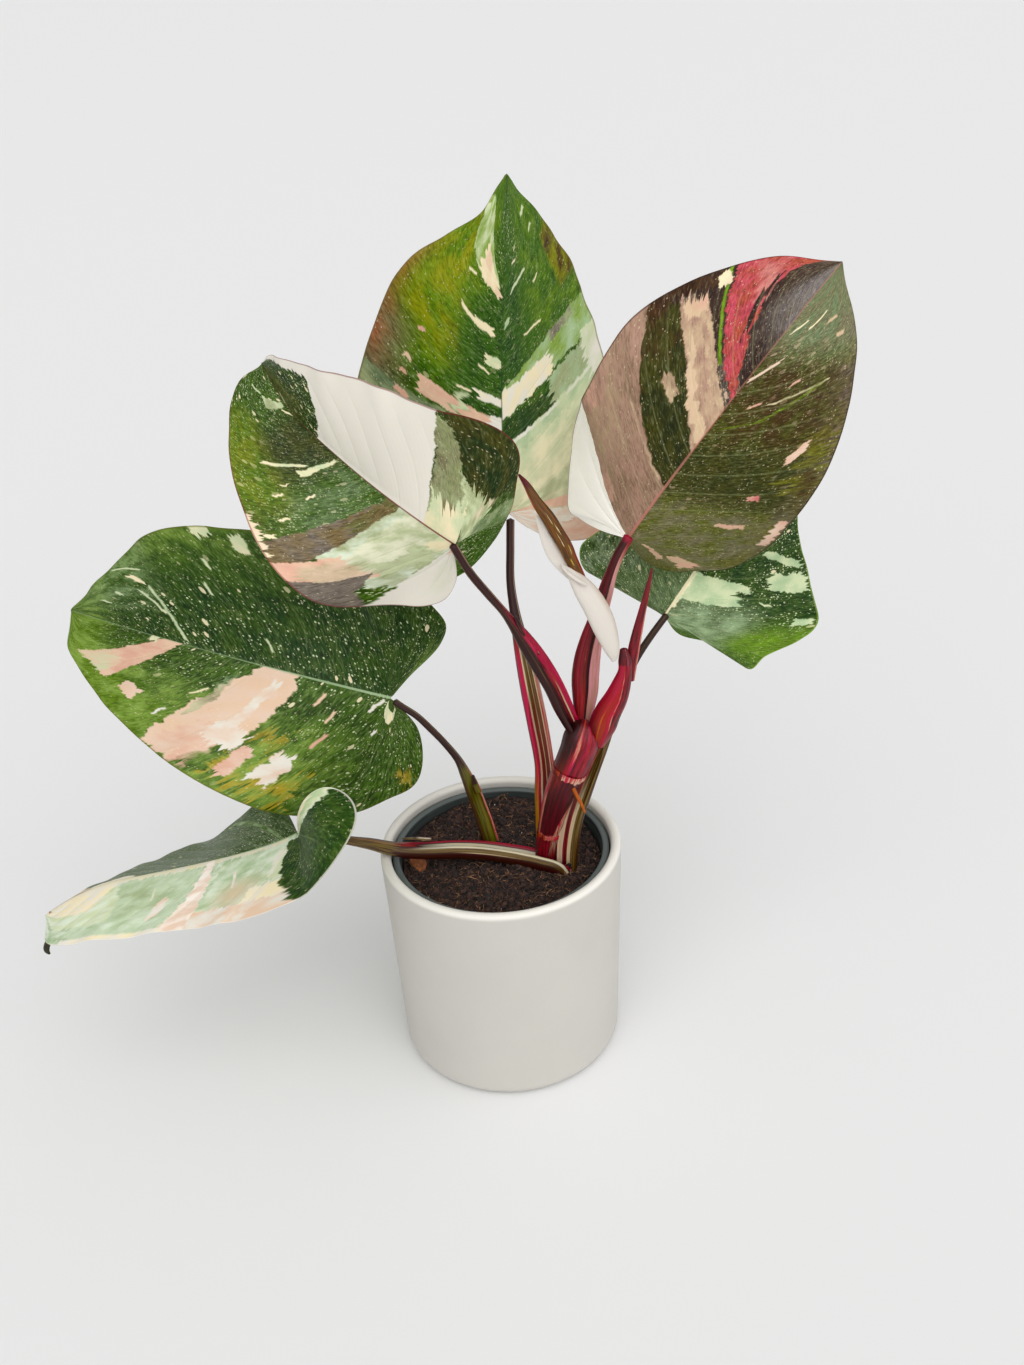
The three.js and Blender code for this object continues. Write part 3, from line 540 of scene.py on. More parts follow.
LEAVES = {}
LEAVES["right"] = dict(ground="dark_olive olive", left_ground="umber mauve_grey", midrib="rib_pink",
    rib=0.009, margin="umber", speckle="beige", fleck="peach", dots=0.3, dashes=0.14, veins=20,
    vein_light=0.4, light_gain=1.12, slot="rose_leaf", left=[
    wash("umber", 70, (90, 92), strength=80),
    # Painted sheen: a silvery grey-mauve sheen near the midrib toward the tip.
    wash("silver mauve_grey", (82, 86), 130, (0, 40)),
    wash("umber brown", 70, 120, (50, 100), 60),
    patch("tan mauve_tan", (27, 30), (47.5, 60), bend=(0, -2.6)),
    wash("beige mauve_tan", 30, (44, 48), (45, 100), 60),
    patch("pink mauve_tan", (35, 36), (43, 44), (86, 97.5), edge=6, end=20),
    patch("pink mauve_tan", 29, (32, 33), (30, 52), edge=5, end=30, strength=70),
    *strokes("beige mauve_tan", (46, 8, 49.2, 62, 0.8), edge=2),
    patch("brown dark_olive", (46.2, 60.2), (55, 66.5), bend=(-2.6, 3)),
    patch("moss dark_olive", (46.2, 60.2), (55, 66.5), (0, 64), bend=(-2.6, 3), end=50, soft=0.6),
    patch("light_beige tan", 57.5, 60.2, (37, 55), end=15),
    patch("beige mauve_tan", (55.3, 66.2), (66.2, 73.7), (0, 88), bend=(3, 1.2), end=50),
    patch("tan beige", (56, 67), (58.5, 69), (0, 80), bend=(3, 0), edge=4, soft=0.6),
    patch("mauve_tan beige", (64.5, 71), (66.4, 73.5), (0, 84), bend=(1, 0), edge=5, end=60),
    patch("peach light_beige", (57, 71), (60, 72.2), (0, 62), edge=6, end=70, strength=80),
    patch("pink light_beige", (66, 67), (72, 72.5), (76, 86), edge=5, end=30),
    patch("brown umber", 60, 78, (91, 100)),
    patch("rose brick", (68.5, 80.8), (70, 98.5), bend=(-1, -1.2), edge=7, end=10),
    patch("pink rose", (77, 85), (79, 91), (55, 97), edge=6, end=40, soft=0.6, strength=50),
    patch("brick rose", (68.5, 80.8), (70, 83.5), (0, 75), bend=(-1, -1), end=40),
    *strokes("umber", (77.5, 36, 84.5, 64, 1.7), (84, 56, 88.5, 76, 1.1), edge=2, end=30),
    *strokes("lime vivid", (70, 29, 79.7, 105, 0.8)),
    patch("cream blush", (74, 75.5), (78, 78.5), (86, 97), end=20),
    # Painted light: the white lobe uses a white brighter than its own, making up for the shade it lies in.
    patch("lit_white", -20, (28.4, 34.5), bend=(0, -2), edge=2),
], right=[
    wash("khaki olive", -10, (45, 43), strength=85),
    wash("olive khaki", -10, 20, (0, 60), 60),
    wash("dark_olive moss", (45, 44), (60, 62), strength=80),
    wash("brown dark_olive", (60, 62), (79, 80), strength=80),
    # Painted sheen: the lighter grey-green over the tip and the grey-mauve along the margin stand in for the
    # leaf's gloss.
    wash("khaki grey_green", (80, 82), 130, strength=85),
    wash("mauve_grey taupe", 24, 130, (88, 100), 50),
    patch("yellow_olive brown", 50, (64, 66), (78, 97), edge=10, end=80, soft=1, strength=55),
    patch("pink beige", (20.5, 12), (23, 15), (22, 68), edge=4, end=20),
    patch("pink beige", (20, 19), (22, 22.5), (60, 90), edge=4, end=30),
    *strokes("lime olive", (61.8, 6, 66, 36, 0.4), strength=70),
    *strokes("lime olive", (66, 34, 75, 68, 0.7), end=50, strength=80),
    *strokes("cream olive", (70, 36, 75, 66, 0.5), end=60),
    patch("pink blush", (30.5, 32), (40.5, 42), (92, 98), end=10),
    *strokes("blush", (73, 2, 79, 20, 1.1)),
    *strokes("pink blush", (58, 69, 62.5, 80, 2.8), edge=4),
    *strokes("pink beige", (37.5, 55, 38.5, 75, 1.4), edge=4),
    *strokes("pink rose", (47.5, 60, 48.3, 68, 1.4), edge=4),
    *strokes("cream", (84.5, 10, 87.5, 22, 0.7), (86, 30, 90, 46, 0.6)),
    *strokes("beige", (88, 55, 89.5, 68, 0.7), (85.5, 72, 86.5, 82, 0.9)),
    *strokes("pink", (68, 18, 70, 28, 0.6), (74, 42, 76, 50, 0.7)),
])
LEAVES["top"] = dict(ground="grass green", left_ground="grass green", midrib="pine", rib=0.007,
    margin="taupe", speckle="mint", fleck="cream", dots=0.34, dashes=0.1, veins=18,
    vein_light=0.25, light_gain=1.1, slot="green_leaf", left=[
    wash("vivid grass", (52, 56), 130, (20, 100), 90),
    wash("yellow_olive vivid", (58, 64), (92, 90), (40, 100), 100),
    wash("forest grass", 46, (78, 64), (0, 40), 80),
    wash("khaki taupe", 30, (60, 65), (78, 100), 90),
    wash("taupe brick", 30, 80, (97, 100), 80),
    patch("grey_green sage", 30, (49, 50), soft=0.6),
    patch("pink peach", (48.4, 53), (50.2, 56.8), (2, 65), bend=(-0.5, 0.4), edge=2, end=20),
    patch("mint green", (48.5, 50), 55, (30, 37), end=30, soft=0.6),
    patch("white", (48.2, 50), (51, 53), (0, 10)),
    patch("cream white", (53.2, 60), (55, 62.5), (0, 23), edge=2),
    patch("cream mint", (60.8, 71), (63.4, 70.5), (2, 16), edge=2),
    patch("cream", (67.5, 75), (69.2, 76.5), (8, 28), edge=2, end=15),
    *strokes("cream", (70, 27, 72.7, 44, 0.9), (60, 10, 61.5, 20, 0.5), (55.5, 27, 56, 38, 0.5),
             (79.5, 40, 80, 50, 0.5)),
    *strokes("pink", (48.7, 70, 49, 79, 1.2), (53, 73, 53.2, 78, 0.9), (63.5, 66, 63.7, 71, 0.8), edge=3),
    *strokes("peach", (56.3, 72, 56.7, 78, 1), edge=3),
    patch("apple mint", (75, 92.5), (76.5, 95), (5, 99), bend=(-1, 5.5), end=20),
    patch("mint apple", (75, 92.5), (76.2, 93.5), (6, 99), bend=(-0.6, 4), end=40),
    patch("peach cream", (75, 90), (76.5, 99), (4, 38), bend=(0, 2), end=40),
], right=[
    wash("forest grass", 56, (84, 76), (0, 50), 80),
    wash("vivid grass", 60, 100, (30, 100), 85),
    patch("brown yellow_olive", (66, 68), (72, 84), (80, 100), edge=2, end=10, soft=1.2),
    patch("celadon mint", 20, (46, 45), soft=0.6),
    wash("beige cream", 22, (40, 38), strength=55),
    patch("mint cream", 30, (42, 40), (0, 60), edge=6, end=60, strength=60),
    patch("sage mint", 26, (29, 30), (10, 80), end=40, strength=60),
    patch("white blush", -10, 21.5),
    patch("pink blush", 10, (18, 20), (65, 100), edge=5),
    patch("pink peach", 21.7, 24.2, edge=2),
    patch("pine fern", (45, 44.2), (50.6, 46.5), (2, 54), end=12),
    patch("sage celadon", 45, (51, 52), (50, 92), edge=4, end=30),
    *strokes("white mint", (44.5, 5, 44, 90, 0.9), edge=2, end=40),
    patch("apple celadon", (50.5, 52.3), (56.6, 61), bend=(1, 1.2)),
    patch("white cream", (50.6, 53), (56.4, 57.5), (0, 56), edge=4, end=35),
    patch("white mint", 42, (53, 53.5), (86, 100), edge=5, end=20),
    patch("mauve_grey sage", (57.8, 58.8), (60, 61), (58, 86), end=20),
    *strokes("mint", (76.5, 14, 79, 42, 0.8), (90, 60, 91, 78, 0.9), (85.5, 66, 86.5, 76, 0.7)),
    *strokes("cream", (65, 30, 65.2, 52, 0.5), (82, 18, 82.5, 26, 0.5), (74, 50, 75, 58, 0.5)),
    *strokes("cream celadon", (70, 3, 71, 10, 1.5)),
])
LEAVES["left"] = dict(ground="dark_green fern", left_ground="green fern", midrib="mauve",
    rib=0.006, margin="mauve", speckle="mint", fleck="cream", dots=0.34, dashes=0.12, veins=17,
    vein_light=0.15, light_gain=1.1, slot="pale_leaf", left=[
    wash("grey_green green", 50, 66, (0, 70), 60),
    wash("moss dark_olive", 66, (84, 80), (0, 75), 80),
    wash("yellow_olive vivid", 60, 86, (62, 100), 60),
    wash("olive green", 52, 62, (75, 100), 60),
    patch("mauve_grey taupe", (47.5, 43.5), (51, 52), bend=(0, 1)),
    patch("olive taupe", 47, (51.2, 50), (0, 40), end=60, strength=70),
    patch("pale_grey sage", 20, (47, 41.5), (0, 76), bend=(0, 2), edge=2.5),
    patch("cream mint", 30, (45, 42), (0, 60), edge=5, end=60, strength=40),
    patch("sage mint", 30, (34, 36), (20, 62), edge=9, end=90, strength=75),
    patch("sage mint", (27, 26), 30, (30, 52), edge=6, end=50),
    patch("cream mint", 30, 34.5, (0, 20), end=30),
    patch("peach pink", (22, 39.8), (41.5, 45.5), (63, 100), bend=(-2, -1), end=20),
    patch("blush sage", (27, 39), (40, 44), (60, 90), bend=(-2, -1), end=50, soft=0.8, strength=60),
    patch("mauve_grey", (46.5, 26.5), (24.2, 39.8), (60, 100)),
    patch("white", -10, (27.5, 26.8)),
    patch("mint white", 10, (24, 20), (30, 85), edge=6, end=50, soft=1, strength=25),
    patch("blush pink", 6, (25, 22), (0, 14)),
    patch("blush cream", (46, 47), 60, (96.5, 100)),
    patch("mint cream", (66.2, 67.5), (66.8, 70), (4, 44), bend=(0, 0.6), edge=2, end=10),
    *strokes("mint cream", (69.5, 32, 73.2, 70, 0.9), end=30),
    patch("mint sage", (85.5, 89), (86.6, 97), (5, 38), edge=2, end=20),
    *strokes("cream", (83, 4, 85.5, 13, 0.8)),
    *strokes("mint", (91.5, 40, 94, 60, 0.6)),
    *strokes("cream", (53, 88, 54, 94, 1.4), (56.5, 70, 57, 78, 0.7), (64, 64, 64.5, 74, 0.6),
             (60.5, 42, 60.7, 50, 0.6), (66, 56, 66.5, 63, 0.5), edge=3),
], right=[
    wash("olive moss", 80, 120, (0, 50)),
    *strokes("mint olive", (87, 0, 88.5, 14, 2), end=40, soft=0.6),
    patch("green moss", 10, (32, 34)),
    patch("mint sage", 12, (33, 30), (10, 60), edge=5, end=50),
    patch("blush sage", 20, (25, 24), (30, 70), edge=5, end=50, soft=0.8, strength=70),
    patch("sage khaki", (30, 31), (41.2, 36), (0, 95), edge=5, end=20),
    patch("mint cream", (28, 30), (40, 37), (0, 30), edge=5, end=60),
    patch("olive sage", 31, (36, 35), (40, 95), edge=6, end=60, soft=1, strength=40),
    patch("dark_green dark_olive", (29, 17), (25, 33.5), (50, 100), edge=5, end=45),
    patch("sage grey_green", -10, (19, 17), (35, 100)),
    wash("grey_green green", -10, 17, (50, 100)),
    patch("white", (39.4, 34.5), (74.5, 77.5), bend=(2, -1.8), edge=2.5),
    patch("white", (77.5, 72), 120, (87, 100), edge=5, end=20),
])
LEAVES["wide"] = dict(ground="fern pine", left_ground="fern green", midrib="celadon",
    rib=0.008, margin="olive", speckle="mint", fleck="cream", dots=0.16, dashes=0.07, veins=18,
    vein_light=0.2, light_gain=1.0, slot="green_leaf", left=[
    wash("green apple", 30, 130, (40, 100), 80),
    wash("vivid apple", (60, 62), 130, (66, 100), 80),
    wash("vivid apple", (88, 86), 130, strength=80),
    patch("mint cream", (30.6, -62), (31.8, -12), (3, 26), end=10),
    *strokes("white", (27.5, 26, 27.5, 30, 1.1), (31.2, 2, 31.8, 14, 0.9), edge=3),
    *strokes("pink", (36.7, 38, 37.4, 50, 0.8)),
    *strokes("peach", (38.3, 20, 38.5, 31, 0.6), (42, 7, 42.3, 18, 0.7)),
    patch("orange apple", 32, (48, 49), (74, 96), edge=14, end=80, soft=0.6, strength=70),
    patch("orange apple", 42, (48, 49), (46, 60), edge=10, end=80, soft=0.6, strength=50),
    patch("orange green", 15, (19, 18), (78, 93), edge=6, end=60, soft=1, strength=60),
    patch("blush white", (39.5, 37), (40.5, 42.5), (60, 84), edge=5, end=30),
    patch("pink blush", (45, 44.5), (47.2, 47.6), (66, 92), edge=4, end=30),
    patch("peach blush", (48.2, 55), (55, 62), (0, 99), bend=(-3, 2.6), edge=4, end=18),
    patch("pink blush", (49, 52), (52, 61), (55, 97), edge=8, end=60, soft=1, strength=70),
    patch("white blush", (50.5, 52), (52, 54.5), (8, 72), end=40),
    patch("white blush", 47.8, (54.5, 55.5), (55, 72), edge=4, end=30),
    patch("celadon green", (57.5, 60), (58.5, 63), (10, 60), end=50, strength=50),
    patch("peach pink", (71.7, 80), (75.7, 90), (0, 80), bend=(0.6, 1), edge=2.5, end=12),
    patch("mint peach", (74, 82), (76, 90), (50, 82), bend=(0.5, 1), end=30, strength=80),
    patch("blush peach", (70, 70.5), (73.5, 75), (67, 80), edge=4, end=15),
    patch("cream mint", 76.5, (78.2, 79.5), (0, 9), edge=2),
    *strokes("cream", (61, 35, 63, 46, 0.5)),
    *strokes("white", (64, 68, 65, 78, 0.6), edge=3),
], right=[
    wash("green fern", 30, 120, (60, 100), 60),
    wash("apple green", (50, 48), 130, (84, 100), 60),
    wash("celadon green", (76, 74), 130, (40, 100), 40),
    wash("apple green", 88, 130),
    wash("apple green", -10, 14, (60, 100), 50),
    patch("mint celadon", (69.8, 79.5), (70.6, 80), (4, 60), edge=1, end=10),
    *strokes("mint", (74, 30, 78, 56, 0.6), end=30),
    *strokes("mint", (53, 12, 54, 22, 0.5), (62.3, 50, 63.2, 60, 0.6), (60.5, 70, 61.2, 78, 0.7),
             (86.8, 49, 89.2, 60, 0.8), (75.5, 76, 82.5, 96, 0.6)),
    *strokes("cream", (76.8, 64, 79, 76, 1.2), end=30),
    *strokes("mint celadon", (83, 58, 84, 66, 1)),
    patch("cream mint", (49.5, 50), (51.2, 53), (85, 96), edge=4, end=15),
    patch("cream mint", 56.5, (59.5, 60.5), (94, 100), edge=4),
])
LEAVES["low"] = dict(ground="fern grey_green", left_ground="pale_grey celadon", midrib="celadon",
    rib=0.006, margin="white", speckle="white", fleck="cream", dots=0.15, dashes=0.04, veins=17,
    vein_light=0.3, light_gain=1.22, slot="pale_leaf", left=[
    wash("celadon pale_grey", 55, 82, (10, 95), 90),
    wash("sage celadon", 60, 78, (20, 70), 50),
    patch("pale_grey mint", (78, 70), 130, (0, 76), edge=4, end=15, soft=0.6),
    patch("white cream", (77, 86), 130, (0, 50), edge=4, end=20, soft=0.4),
    patch("celadon pale_grey", 28, (50, 48), soft=0.6),
    wash("peach beige", 35, 44, (50, 80)),
    patch("white cream", 33, 90, (0, 8), edge=5, end=20, strength=80),
    patch("white cream", 20, (36, 35), (62, 100), edge=5, end=20),
    patch("white peach", 20, (56, 54), (80, 100), edge=5, end=15),
    patch("cream white", 50, (90, 85), (94, 100), end=6, soft=0.6),
    patch("blush shell", (52.8, 47), (54.5, 53.5), end=20),
    patch("blush white", (60, 58), (61, 61.5), (50, 76), edge=4, end=30),
    *strokes("white blush", (44.5, 30, 41.8, 56, 0.8)),
    *strokes("white mint", (65.5, 30, 64, 50, 0.5)),
    patch("mint white", (29, 24), (35, 30), (20, 60), edge=4, end=30),
    patch("pine fern", (22, 13), (32.5, 26.5), (9, 100), bend=(-3, 0), edge=3.5, end=10),
    patch("white cream", -10, (13, 12.5)),
    patch("mint celadon", 10, 12.5, (30, 100), edge=4, soft=0.6),
], right=[
    wash("pine fern", -10, 33, strength=60),
    patch("celadon green", (34, 38), (34.6, 40), (0, 90), edge=1, soft=0.4),
    wash("grey_green fern", 40, 120, (30, 100), 50),
    patch("white cream", 74, 120, (0, 30), soft=0.6),
    patch("cream tan", 86, 120),
    patch("dark_olive moss", 93, 120, (40, 100)),
])
LEAVES["back"] = dict(ground="fern pine", left_ground="fern grey_green", midrib="cream",
    rib=0.006, margin="apple", speckle="mint", fleck="cream", dots=0.26, dashes=0.07, veins=16,
    vein_light=0.3, light_gain=1.15, slot="green_leaf", left=[
    wash("green apple", 50, 90, (50, 100), 50),
    wash("grey_green fern", 20, 50, (0, 50), 60),
    *strokes("mint cream", (60, 10, 68, 60, 3), (44, 30, 47, 80, 2), edge=4, end=40),
], right=[
    wash("green fern", -10, 30, strength=80),
    wash("grey_green celadon", -10, (37, 36), (0, 60)),
    wash("vivid lime", 20, 31, (60, 100)),
    patch("mint celadon", (36.2, 37.5), (45, 44), (0, 42), end=30),
    *strokes("mint celadon", (38.5, 20, 38.7, 46, 2.8), (43, 20, 43, 52, 2.4), edge=3, end=30),
    patch("cream mint", 33, 46, (0, 3), end=10),
    patch("mint celadon", (44, 43), (47.8, 49), (68, 97), edge=5, end=30),
    *strokes("mint celadon", (55.5, 60, 51.5, 95, 2.8), edge=4, end=30),
    *strokes("mint celadon", (33, 85, 33, 97, 2.2), edge=3),
    *strokes("mint", (39, 62, 38.5, 70, 0.6), edge=3),
    wash("apple celadon", 70, 120, strength=50),
])

ALL = -300
REST = 300

STALK_SKINS = {}
STALK_SKINS["petiole_top"] = ("brown taupe", [
    patch("crimson brown", -20, 60, (5, 42), edge=30, end=60, soft=5),
    patch("cream tan", 10, 17, (10, 62), edge=5, soft=2, strength=80),
    patch("tan brown", 30, 36, (6, 60), edge=5, soft=2, strength=70),
    patch("cream peach", -42, (-24, -26), (10, 62), edge=8, soft=2),
    patch("hot_pink rose", ALL, (-40, -42), (6, 62), edge=10, soft=2),
    patch("crimson maroon", ALL, -86, (0, 64), edge=10, soft=2),
    patch("taupe orange", ALL, (-66, -50), (8, 22), edge=20, soft=5),
    patch("rose pink", 60, REST, (6, 60), edge=10, soft=2),
    patch("cream blush", 52, (62, 60), (15, 60), edge=10, soft=2),
    patch("plum maroon", ALL, REST, (64, 100), edge=30, end=15),
    # Painted highlight: a lighter band down the middle of the dark upper stalk.
    patch("taupe umber", -20, 0, (66, 100), soft=10, strength=40),
    patch("peach maroon", 66, 84, (62, 100), soft=6, strength=70),
])
STALK_SKINS["petiole_wide"] = ("brown olive", [
    patch("umber brown", ALL, -50, (0, 50), edge=20, soft=6),
    patch("taupe olive", (5, 10), 50, (0, 42), edge=15, soft=6),
    patch("olive brown", (5, 10), 20, (0, 45), edge=15, soft=6),
    patch("rose pink", (76, 74), REST, (0, 46), edge=8, soft=4),
    patch("plum umber", ALL, REST, (50, 100), edge=20, end=30),
    patch("beige brown", 62, 84, (50, 100), soft=8, strength=60),
])
STALK_SKINS["petiole_back"] = ("taupe brown", [
    patch("umber brown", (72, 70), REST, (0, 62), edge=10, soft=5),
    patch("mint cream", ALL, -55, (30, 62), edge=10, soft=3),
    patch("brown maroon", -52, (-30, -34), (30, 60), edge=10, soft=3),
    patch("pink rose", -24, (-2, -6), (26, 62), edge=8, soft=3),
    patch("blush peach", ALL, -42, (0, 33), edge=10, soft=3),
    patch("maroon crimson", -42, -4, (0, 36), edge=10, soft=3),
    patch("cream peach", -4, (26, 30), (0, 34), edge=10, soft=3),
    patch("tan olive", 34, 42, (0, 60), edge=5, soft=3, strength=70),
    patch("plum umber", ALL, REST, (64, 100), edge=30, end=20),
    patch("taupe umber", -30, 10, (64, 100), soft=20, strength=50),
])
STALK_SKINS["petiole_low"] = ("umber maroon", [
    patch("brown taupe", -20, 30, (5, 60), edge=10, soft=5),
    # Painted highlight: a short cream dash on the dark lower side of the stalk.
    patch("cream beige", (-27, -25), (-19, -17), (22, 36), end=10, soft=2),
    patch("cream white", (12, 30), (36, 52), (2, 47), edge=10, end=10, soft=3),
    patch("crimson rose", (44, 66), REST, (0, 58), edge=12, end=10, soft=3),
    patch("pink blush", (86, 84), REST, (14, 56), edge=10, soft=4, strength=70),
    patch("maroon crimson", (36, 50), (62, 76), (0, 20), edge=10, end=10, soft=6),
    patch("taupe umber", ALL, REST, (62, 100), edge=20, end=20),
    patch("pink brown", 60, 85, (60, 100), soft=8, strength=50),
])
STALK_SKINS["petiole_left"] = ("plum maroon", [
    patch("taupe umber", -35, -25, (25, 90), soft=4, strength=50),
    patch("maroon crimson", (10, -20), REST, (0, 62), edge=10, end=10, soft=5),
    patch("crimson hot_pink", (36, -10), REST, (0, 60), edge=12, end=10, soft=5),
    patch("hot_pink crimson", (62, 50), 90, (10, 56), edge=10, end=10, soft=8),
    patch("tan crimson", (42, 30), (48, 36), (10, 46), edge=5, soft=3, strength=70),
    patch("cream pink", (30, 20), (42, 30), (0, 30), edge=6, end=10, soft=3),
    patch("maroon crimson", 92, REST, (0, 62), soft=4),
    patch("peach maroon", 70, 86, (64, 100), soft=6, strength=70),
    patch("peach maroon", -90, -80, (64, 100), soft=5, strength=50),
])
STALK_SKINS["petiole_right"] = ("maroon crimson", [
    patch("crimson maroon", ALL, 10, (0, 42), edge=20, end=60, soft=10),
    patch("scarlet ember", -50, 5, (0, 20), edge=30, end=50, soft=15),
    patch("rose crimson", (-34, -30), (-28, -25), (10, 50), edge=5, soft=3, strength=80),
    patch("pink maroon", (-14, -12), (-10, -8), (16, 46), edge=5, soft=2, strength=80),
    patch("scarlet crimson", ALL, (-80, -75), (52, 95), edge=10, soft=6),
    patch("plum maroon", (2, 10), (20, 34), (0, 90), edge=6, soft=4),
    patch("pale_mauve pink", (18, 40), REST, (0, 93), edge=5, end=10, soft=3),
    patch("rose pink", (92, 90), REST, (0, 80), soft=4),
    patch("maroon plum", ALL, 35, (78, 100), edge=10, end=30, soft=10),
    patch("mauve rose", ALL, REST, (98, 100), edge=10, end=10),
])
STEM_SKIN = ("crimson maroon", [
    patch("plum maroon", ALL, -40, (62, 100), edge=10, soft=6),
    patch("hot_pink crimson", 30, 72, (70, 100), edge=20, end=30, soft=20, strength=60),
    patch("pink crimson", (46, 50), (54, 56), (72, 92), edge=10, end=20, soft=4),
    patch("pink hot_pink", (-24, -18), (0, 5), (70, 97), edge=8, end=10, soft=5),
    patch("maroon crimson", ALL, REST, (0, 33.5), edge=10),
    patch("hot_pink crimson", -6, 2, (20, 32), edge=5, soft=4, strength=80),
    patch("wine maroon", ALL, REST, (33.5, 66), edge=10, end=10),
    patch("brick wine", ALL, -30, (62, 68), edge=30, end=20, soft=5, strength=70),
    patch("pink rose", ALL, REST, (32.5, 34.5), edge=10, end=3),
    patch("rose pink", (-98, -90), (-80, -76), (34, 60), edge=8, soft=4),
    patch("blush crimson", (-78, 290), REST, (30, 56), edge=10, end=10, soft=4),
    patch("pink rose", (-97, 273), (-78, 290), (33, 58), edge=4, end=5, soft=3),
])
YOUNG_SHEATH_SKIN = ("crimson rose", [
    patch("ember rust", (-70, -90), (20, 10), (0, 50), edge=20, end=60, soft=15, strength=60),
    patch("orange ember", -30, -22, (6, 40), edge=10, soft=4, strength=60),
    patch("hot_pink crimson", (-70, -80), (-10, -20), (42, 66), edge=10, end=30, soft=15),
    patch("maroon crimson", (42, -50), REST, (5, 82), bend=(35, 0), edge=10, soft=5),
    patch("pink hot_pink", (35, -60), (43, -52), (14, 74), bend=(35, 35), edge=4, soft=3),
    patch("plum maroon", ALL, (-40, -50), (0, 20), edge=30, end=30, soft=10),
    patch("mauve maroon", ALL, REST, (80, 100), edge=10, end=10),
    # Painted highlight: a pale pinkish spot on the knob at the top.
    patch("pale_mauve mauve", 25, (55, 50), (87, 93), end=10, soft=10),
])
ROLL_SKIN = ("rust brown", [
    *(patch("cream orange", left, right, reach, edge=30, end=30) for left, right, reach in (
        (-20, -5, (20, 28)), (30, 42, (30, 36)), (-30, -18, (42, 47)), (15, 28, (50, 58)),
        (-10, 0, (62, 66)))),
    patch("maroon umber", 80, REST, edge=10, soft=8),
    patch("mauve brick", (62, 40), REST, (0, 30), edge=10, soft=8),
    patch("maroon mauve", ALL, REST, (86, 100), edge=20, end=20),
    patch("rose pink", ALL, -80, (74, 100), edge=10),
])
TORN_SKIN = ("rose rib_pink", [
    patch("blush pink", -100, 100, (62, 66), end=30),
    patch("wine brick", ALL, -30, edge=30),
])
SPEAR_SKIN = ("crimson maroon", [patch("pink rose", (70, 60), REST, (0, 75), edge=10, soft=5)])
SPOON_SKIN = ("shell", [patch("blush shell", 60, REST, (10, 90), soft=20, strength=50)])
DRY_SKIN = ("beige tan", [patch("moss plum", ALL, REST, (62, 100), edge=10, end=10, soft=2)])


# Mesh helpers

def catmull(points, t):
    """Places on the smooth line through points, for t from 0 to 1."""
    points = np.asarray(points, float)
    spans = len(points) - 1
    t = np.clip(np.asarray(t, float) * spans, 0, spans - 1e-9)
    i = np.floor(t).astype(int)
    f = (t - i)[..., None]
    padded = np.vstack([2 * points[0] - points[1], points, 2 * points[-1] - points[-2]])
    p0, p1, p2, p3 = (padded[i + k] for k in range(4))
    return 0.5 * (2 * p1 + (p2 - p0) * f + (2 * p0 - 5 * p1 + 4 * p2 - p3) * f ** 2
                  + (3 * p1 - p0 - 3 * p2 + p3) * f ** 3)


def smooth(value, low, high):
    """0 below low, 1 above high, smooth between."""
    x = np.clip((value - low) / (high - low), 0, 1)
    return x * x * (3 - 2 * x)


def add_object(name, data):
    piece = bpy.data.objects.new(name, data)
    bpy.context.scene.collection.objects.link(piece)
    return piece


def plain_mesh(name, vertices, edges, faces):
    """A mesh from places in millimetres."""
    mesh = bpy.data.meshes.new(name)
    mesh.from_pydata([tuple(v) for v in np.array(vertices, float) * MM], edges, [tuple(f) for f in faces])
    return mesh


def mesh_object(name, vertices, faces, materials, uvs=None, slots=None):
    """A piece at the origin, its place in its mesh. uvs maps a UV map's name to one pair per face corner."""
    mesh = plain_mesh(name, vertices, [], faces)
    for label, corners in (uvs or {}).items():
        layer = mesh.uv_layers.new(name=label)
        layer.data.foreach_set("uv", np.asarray(corners, np.float32).ravel())
    for each in materials:
        mesh.materials.append(each)
    if slots is not None:
        mesh.polygons.foreach_set("material_index", np.asarray(slots, np.int32))
    mesh.polygons.foreach_set("use_smooth", np.ones(len(mesh.polygons), bool))
    mesh.validate()
    mesh.update()
    return add_object(name, mesh)


def face_outwards(piece, merge=False):
    """Turns every face outwards and keeps the UV maps. Points that meet are merged first where asked."""
    shape = bmesh.new()
    shape.from_mesh(piece.data)
    if merge:
        bmesh.ops.remove_doubles(shape, verts=shape.verts, dist=1e-6)
    bmesh.ops.recalc_face_normals(shape, faces=shape.faces)
    shape.to_mesh(piece.data)
    shape.free()
    piece.data.update()
    return piece


def join_pieces(name, pieces):
    """Joins parts of one piece into a single mesh at the origin."""
    bpy.ops.object.select_all(action="DESELECT")
    for piece in pieces:
        piece.select_set(True)
    bpy.context.view_layer.objects.active = pieces[0]
    bpy.ops.object.join()
    pieces[0].name = name
    return pieces[0]


def settle(piece, slot_name, *nodes):
    """The piece rides on the plant's one body and stands for its solids."""
    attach(piece, BODY)
    if nodes:
        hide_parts(*nodes)


def wire_rule(piece, tree, inputs):
    """Runs a Geometry Nodes tree on the piece and keeps the result as a plain mesh."""
    modifier = piece.modifiers.new("Rule", "NODES")
    modifier.node_group = tree
    for item in tree.interface.items_tree:
        if item.item_type == "SOCKET" and item.in_out == "INPUT" and item.name in inputs:
            modifier[item.identifier] = inputs[item.name]
    evaluated = piece.evaluated_get(bpy.context.evaluated_depsgraph_get())
    mesh = bpy.data.meshes.new_from_object(evaluated)
    mesh.name = piece.name
    piece.modifiers.remove(modifier)
    piece.data = mesh


